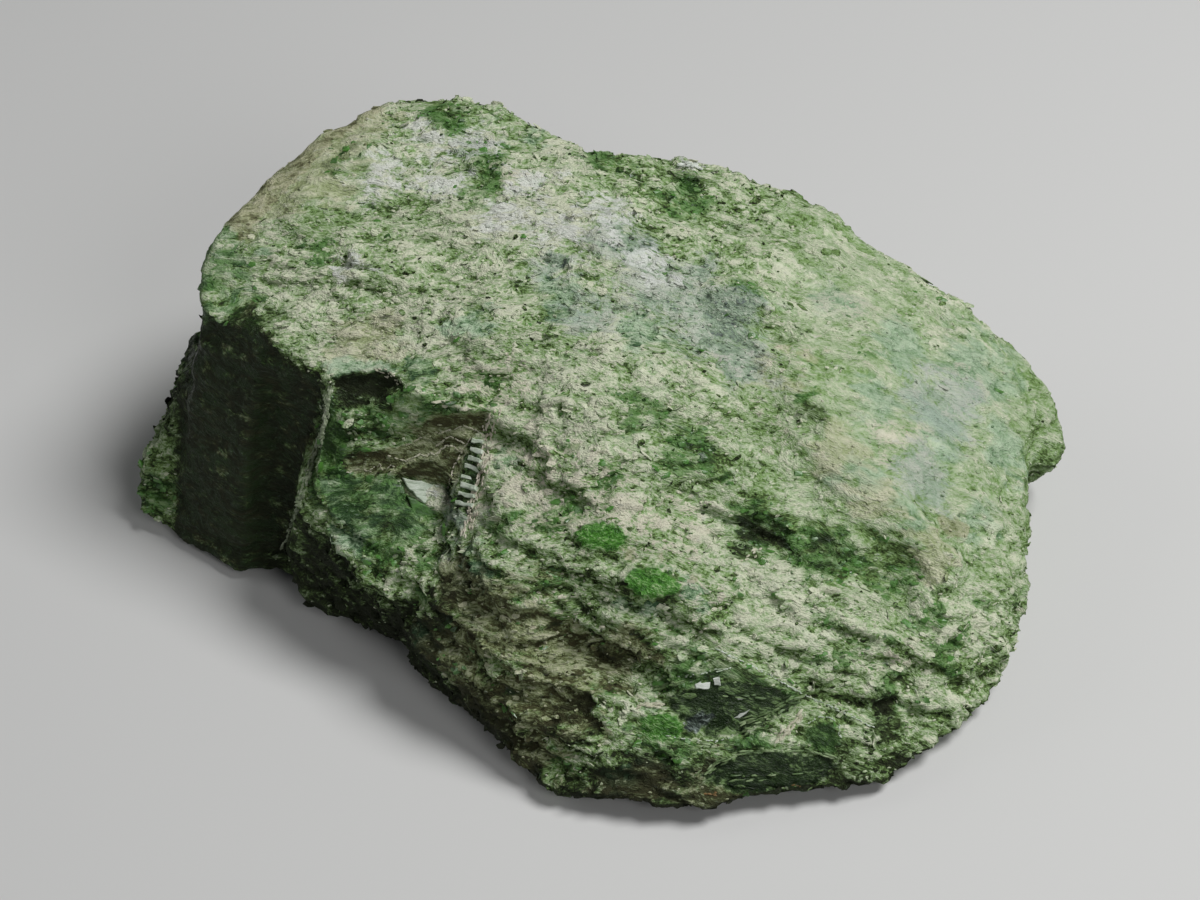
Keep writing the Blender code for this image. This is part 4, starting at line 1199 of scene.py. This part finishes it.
# %% Blade
edge_piece("bright_blade", (
    (((330, 386), (328, 405), (323, 430), (315, 458), (304, 492), (293, 522), (283, 548)), 0.42, 0.15, 0.7),
    (((327, 396), (323, 425), (314, 452), (304, 484), (296, 505)), 0.34, 0.2, 1),
    (((332, 380), (330, 400), (326, 425), (319, 452)), 0.3, 0.3, 1),
), blade_face, 37)

# %% [markdown]
# ## Lines and flakes of the lenses
# Low on the front the two dark lenses lie under thin pale edges, with a few white flakes on them. Two small
# white knobs stand high on the stone.

# %% Pale lines, streaks, patches and specks
edge_piece("pale_lines", (
    (((716, 649), (735, 658), (752, 666)), 0.2, 0.25, 0.5),
    (((750, 665), (776, 679), (806, 696), (842, 711), (873, 727)), 0.2, 0.15, 0.5),
    (((808, 724), (818, 717), (829, 717), (838, 723), (841, 738)), 0.18, 0.3, 0.6),
    (((676, 678), (696, 674), (718, 671), (730, 668)), 0.2, 0.3, 0.9),
    (((668, 736), (690, 740), (715, 742), (731, 735)), 0.18, 0.4, 0.8),
), pale_face, 39)
edge_piece("lens_streaks", (
    (((700, 776), (718, 763), (740, 753), (768, 750), (800, 749), (832, 757)), 0.55, 0.4, 1.6),
    (((742, 726), (765, 717), (785, 706), (803, 696)), 0.6, 0.3, 3),
    (((652, 690), (668, 684), (684, 682), (700, 676)), 0.55, 0.4, 2.6),
    (((690, 745), (715, 748), (735, 744)), 0.5, 0.4, 2.6),
    (((720, 694), (760, 697)), 0.5, 0.7, 3),
    (((720, 783), (760, 779), (800, 774)), 0.5, 0.75, 3),
), streak_green, 47, 0.24)
edge_piece("cream_patches", (
    (((783, 736), (794, 723), (803, 714)), 0.4, 0.1, 2.4),
    (((778, 742), (786, 733)), 0.34, 0.2, 2),
    (((640, 708), (652, 704), (664, 706)), 0.4, 0.2, 2),
    (((744, 560), (752, 555), (760, 549)), 0.3, 0.3, 2),
), cream_face, 41)
edge_piece("rust_specks", (
    (((706, 795), (719, 795)), 0.26, 0.2, 1.2),
    (((793, 788), (803, 785)), 0.26, 0.2, 1.2),
), rust_face, 43)

# %% White flakes and knobs
chips_piece("white_flakes", knob_white,
            (((694, 683), (700, 680), (711, 683), (709, 689), (698, 690)), 0.14, 0.7, (0.0, 0.0, 0.2)),
            (((712, 680), (720, 677), (718, 684), (713, 685)), 0.12, 0.7),
            (((736, 698), (744, 695), (746, 698), (739, 700)), 0.0, 0.6),
            (((733, 719), (741, 714), (750, 710), (744, 715), (736, 720)), 0.0, 0.6))
edge_piece("white_knobs", (
    (((352, 262), (366, 267)), 0.36, 0.4, 3),
    (((680, 166), (692, 165), (702, 170)), 0.45, 0, 2),
), knob_white, 45)

# %% [markdown]
# ## Floor, light and camera
# A pale floor and broad soft light from above and a little behind, so that the upper side is bright and the
# steep front stays in shade. The camera looks down at the stone from the front at forty-five degrees.

# %% Floor
FLOOR_HALF = 900.0
floor_shape = bmesh.new()
bmesh.ops.create_grid(floor_shape, x_segments=1, y_segments=1, size=FLOOR_HALF * MM)
floor = add_object("floor", mesh_of(floor_shape, "floor"))
floor_material, floor_tree, floor_shader = new_material("pale_floor")
floor_shader.inputs["Base Color"].default_value = (0.66, 0.66, 0.65, 1.0)
floor_shader.inputs["Roughness"].default_value = 0.85
floor.data.materials.append(floor_material)

# %% Lights
LIGHT_TARGET = Vector((0.0, 0.0, 6.0))


def soft_light(name, place, size, energy):
    data = bpy.data.lights.new(name, "AREA")
    data.shape = "DISK"
    data.size = size * MM
    data.energy = energy
    lamp = add_object(name, data)
    lamp.location = Vector(place) * MM
    lamp.rotation_euler = (LIGHT_TARGET - Vector(place)).to_track_quat("-Z", "Y").to_euler()


soft_light("key_light", (155.0, 12.0, 284.0), 140.0, 0.78)
soft_light("front_light", (120.0, -200.0, 190.0), 120.0, 0.15)
soft_light("left_light", (-260.0, 60.0, 160.0), 160.0, 0.085)
world = bpy.data.worlds.new("studio")
bpy.context.scene.world = world
world.use_nodes = True
sky = world.node_tree.nodes["Background"]
sky.inputs["Color"].default_value = (0.80, 0.83, 0.86, 1.0)
sky.inputs["Strength"].default_value = 0.075
bpy.context.scene.view_settings.view_transform = "Standard"

# %% Camera
camera_data = bpy.data.cameras.new("camera")
camera_data.lens = LENS
camera_data.sensor_width = SENSOR
camera_data.clip_start = 0.005
camera = add_object("camera", camera_data)
camera.location = CAMERA_PLACE * MM
camera.rotation_euler = (CAMERA_TILT, 0.0, 0.0)
bpy.context.scene.camera = camera
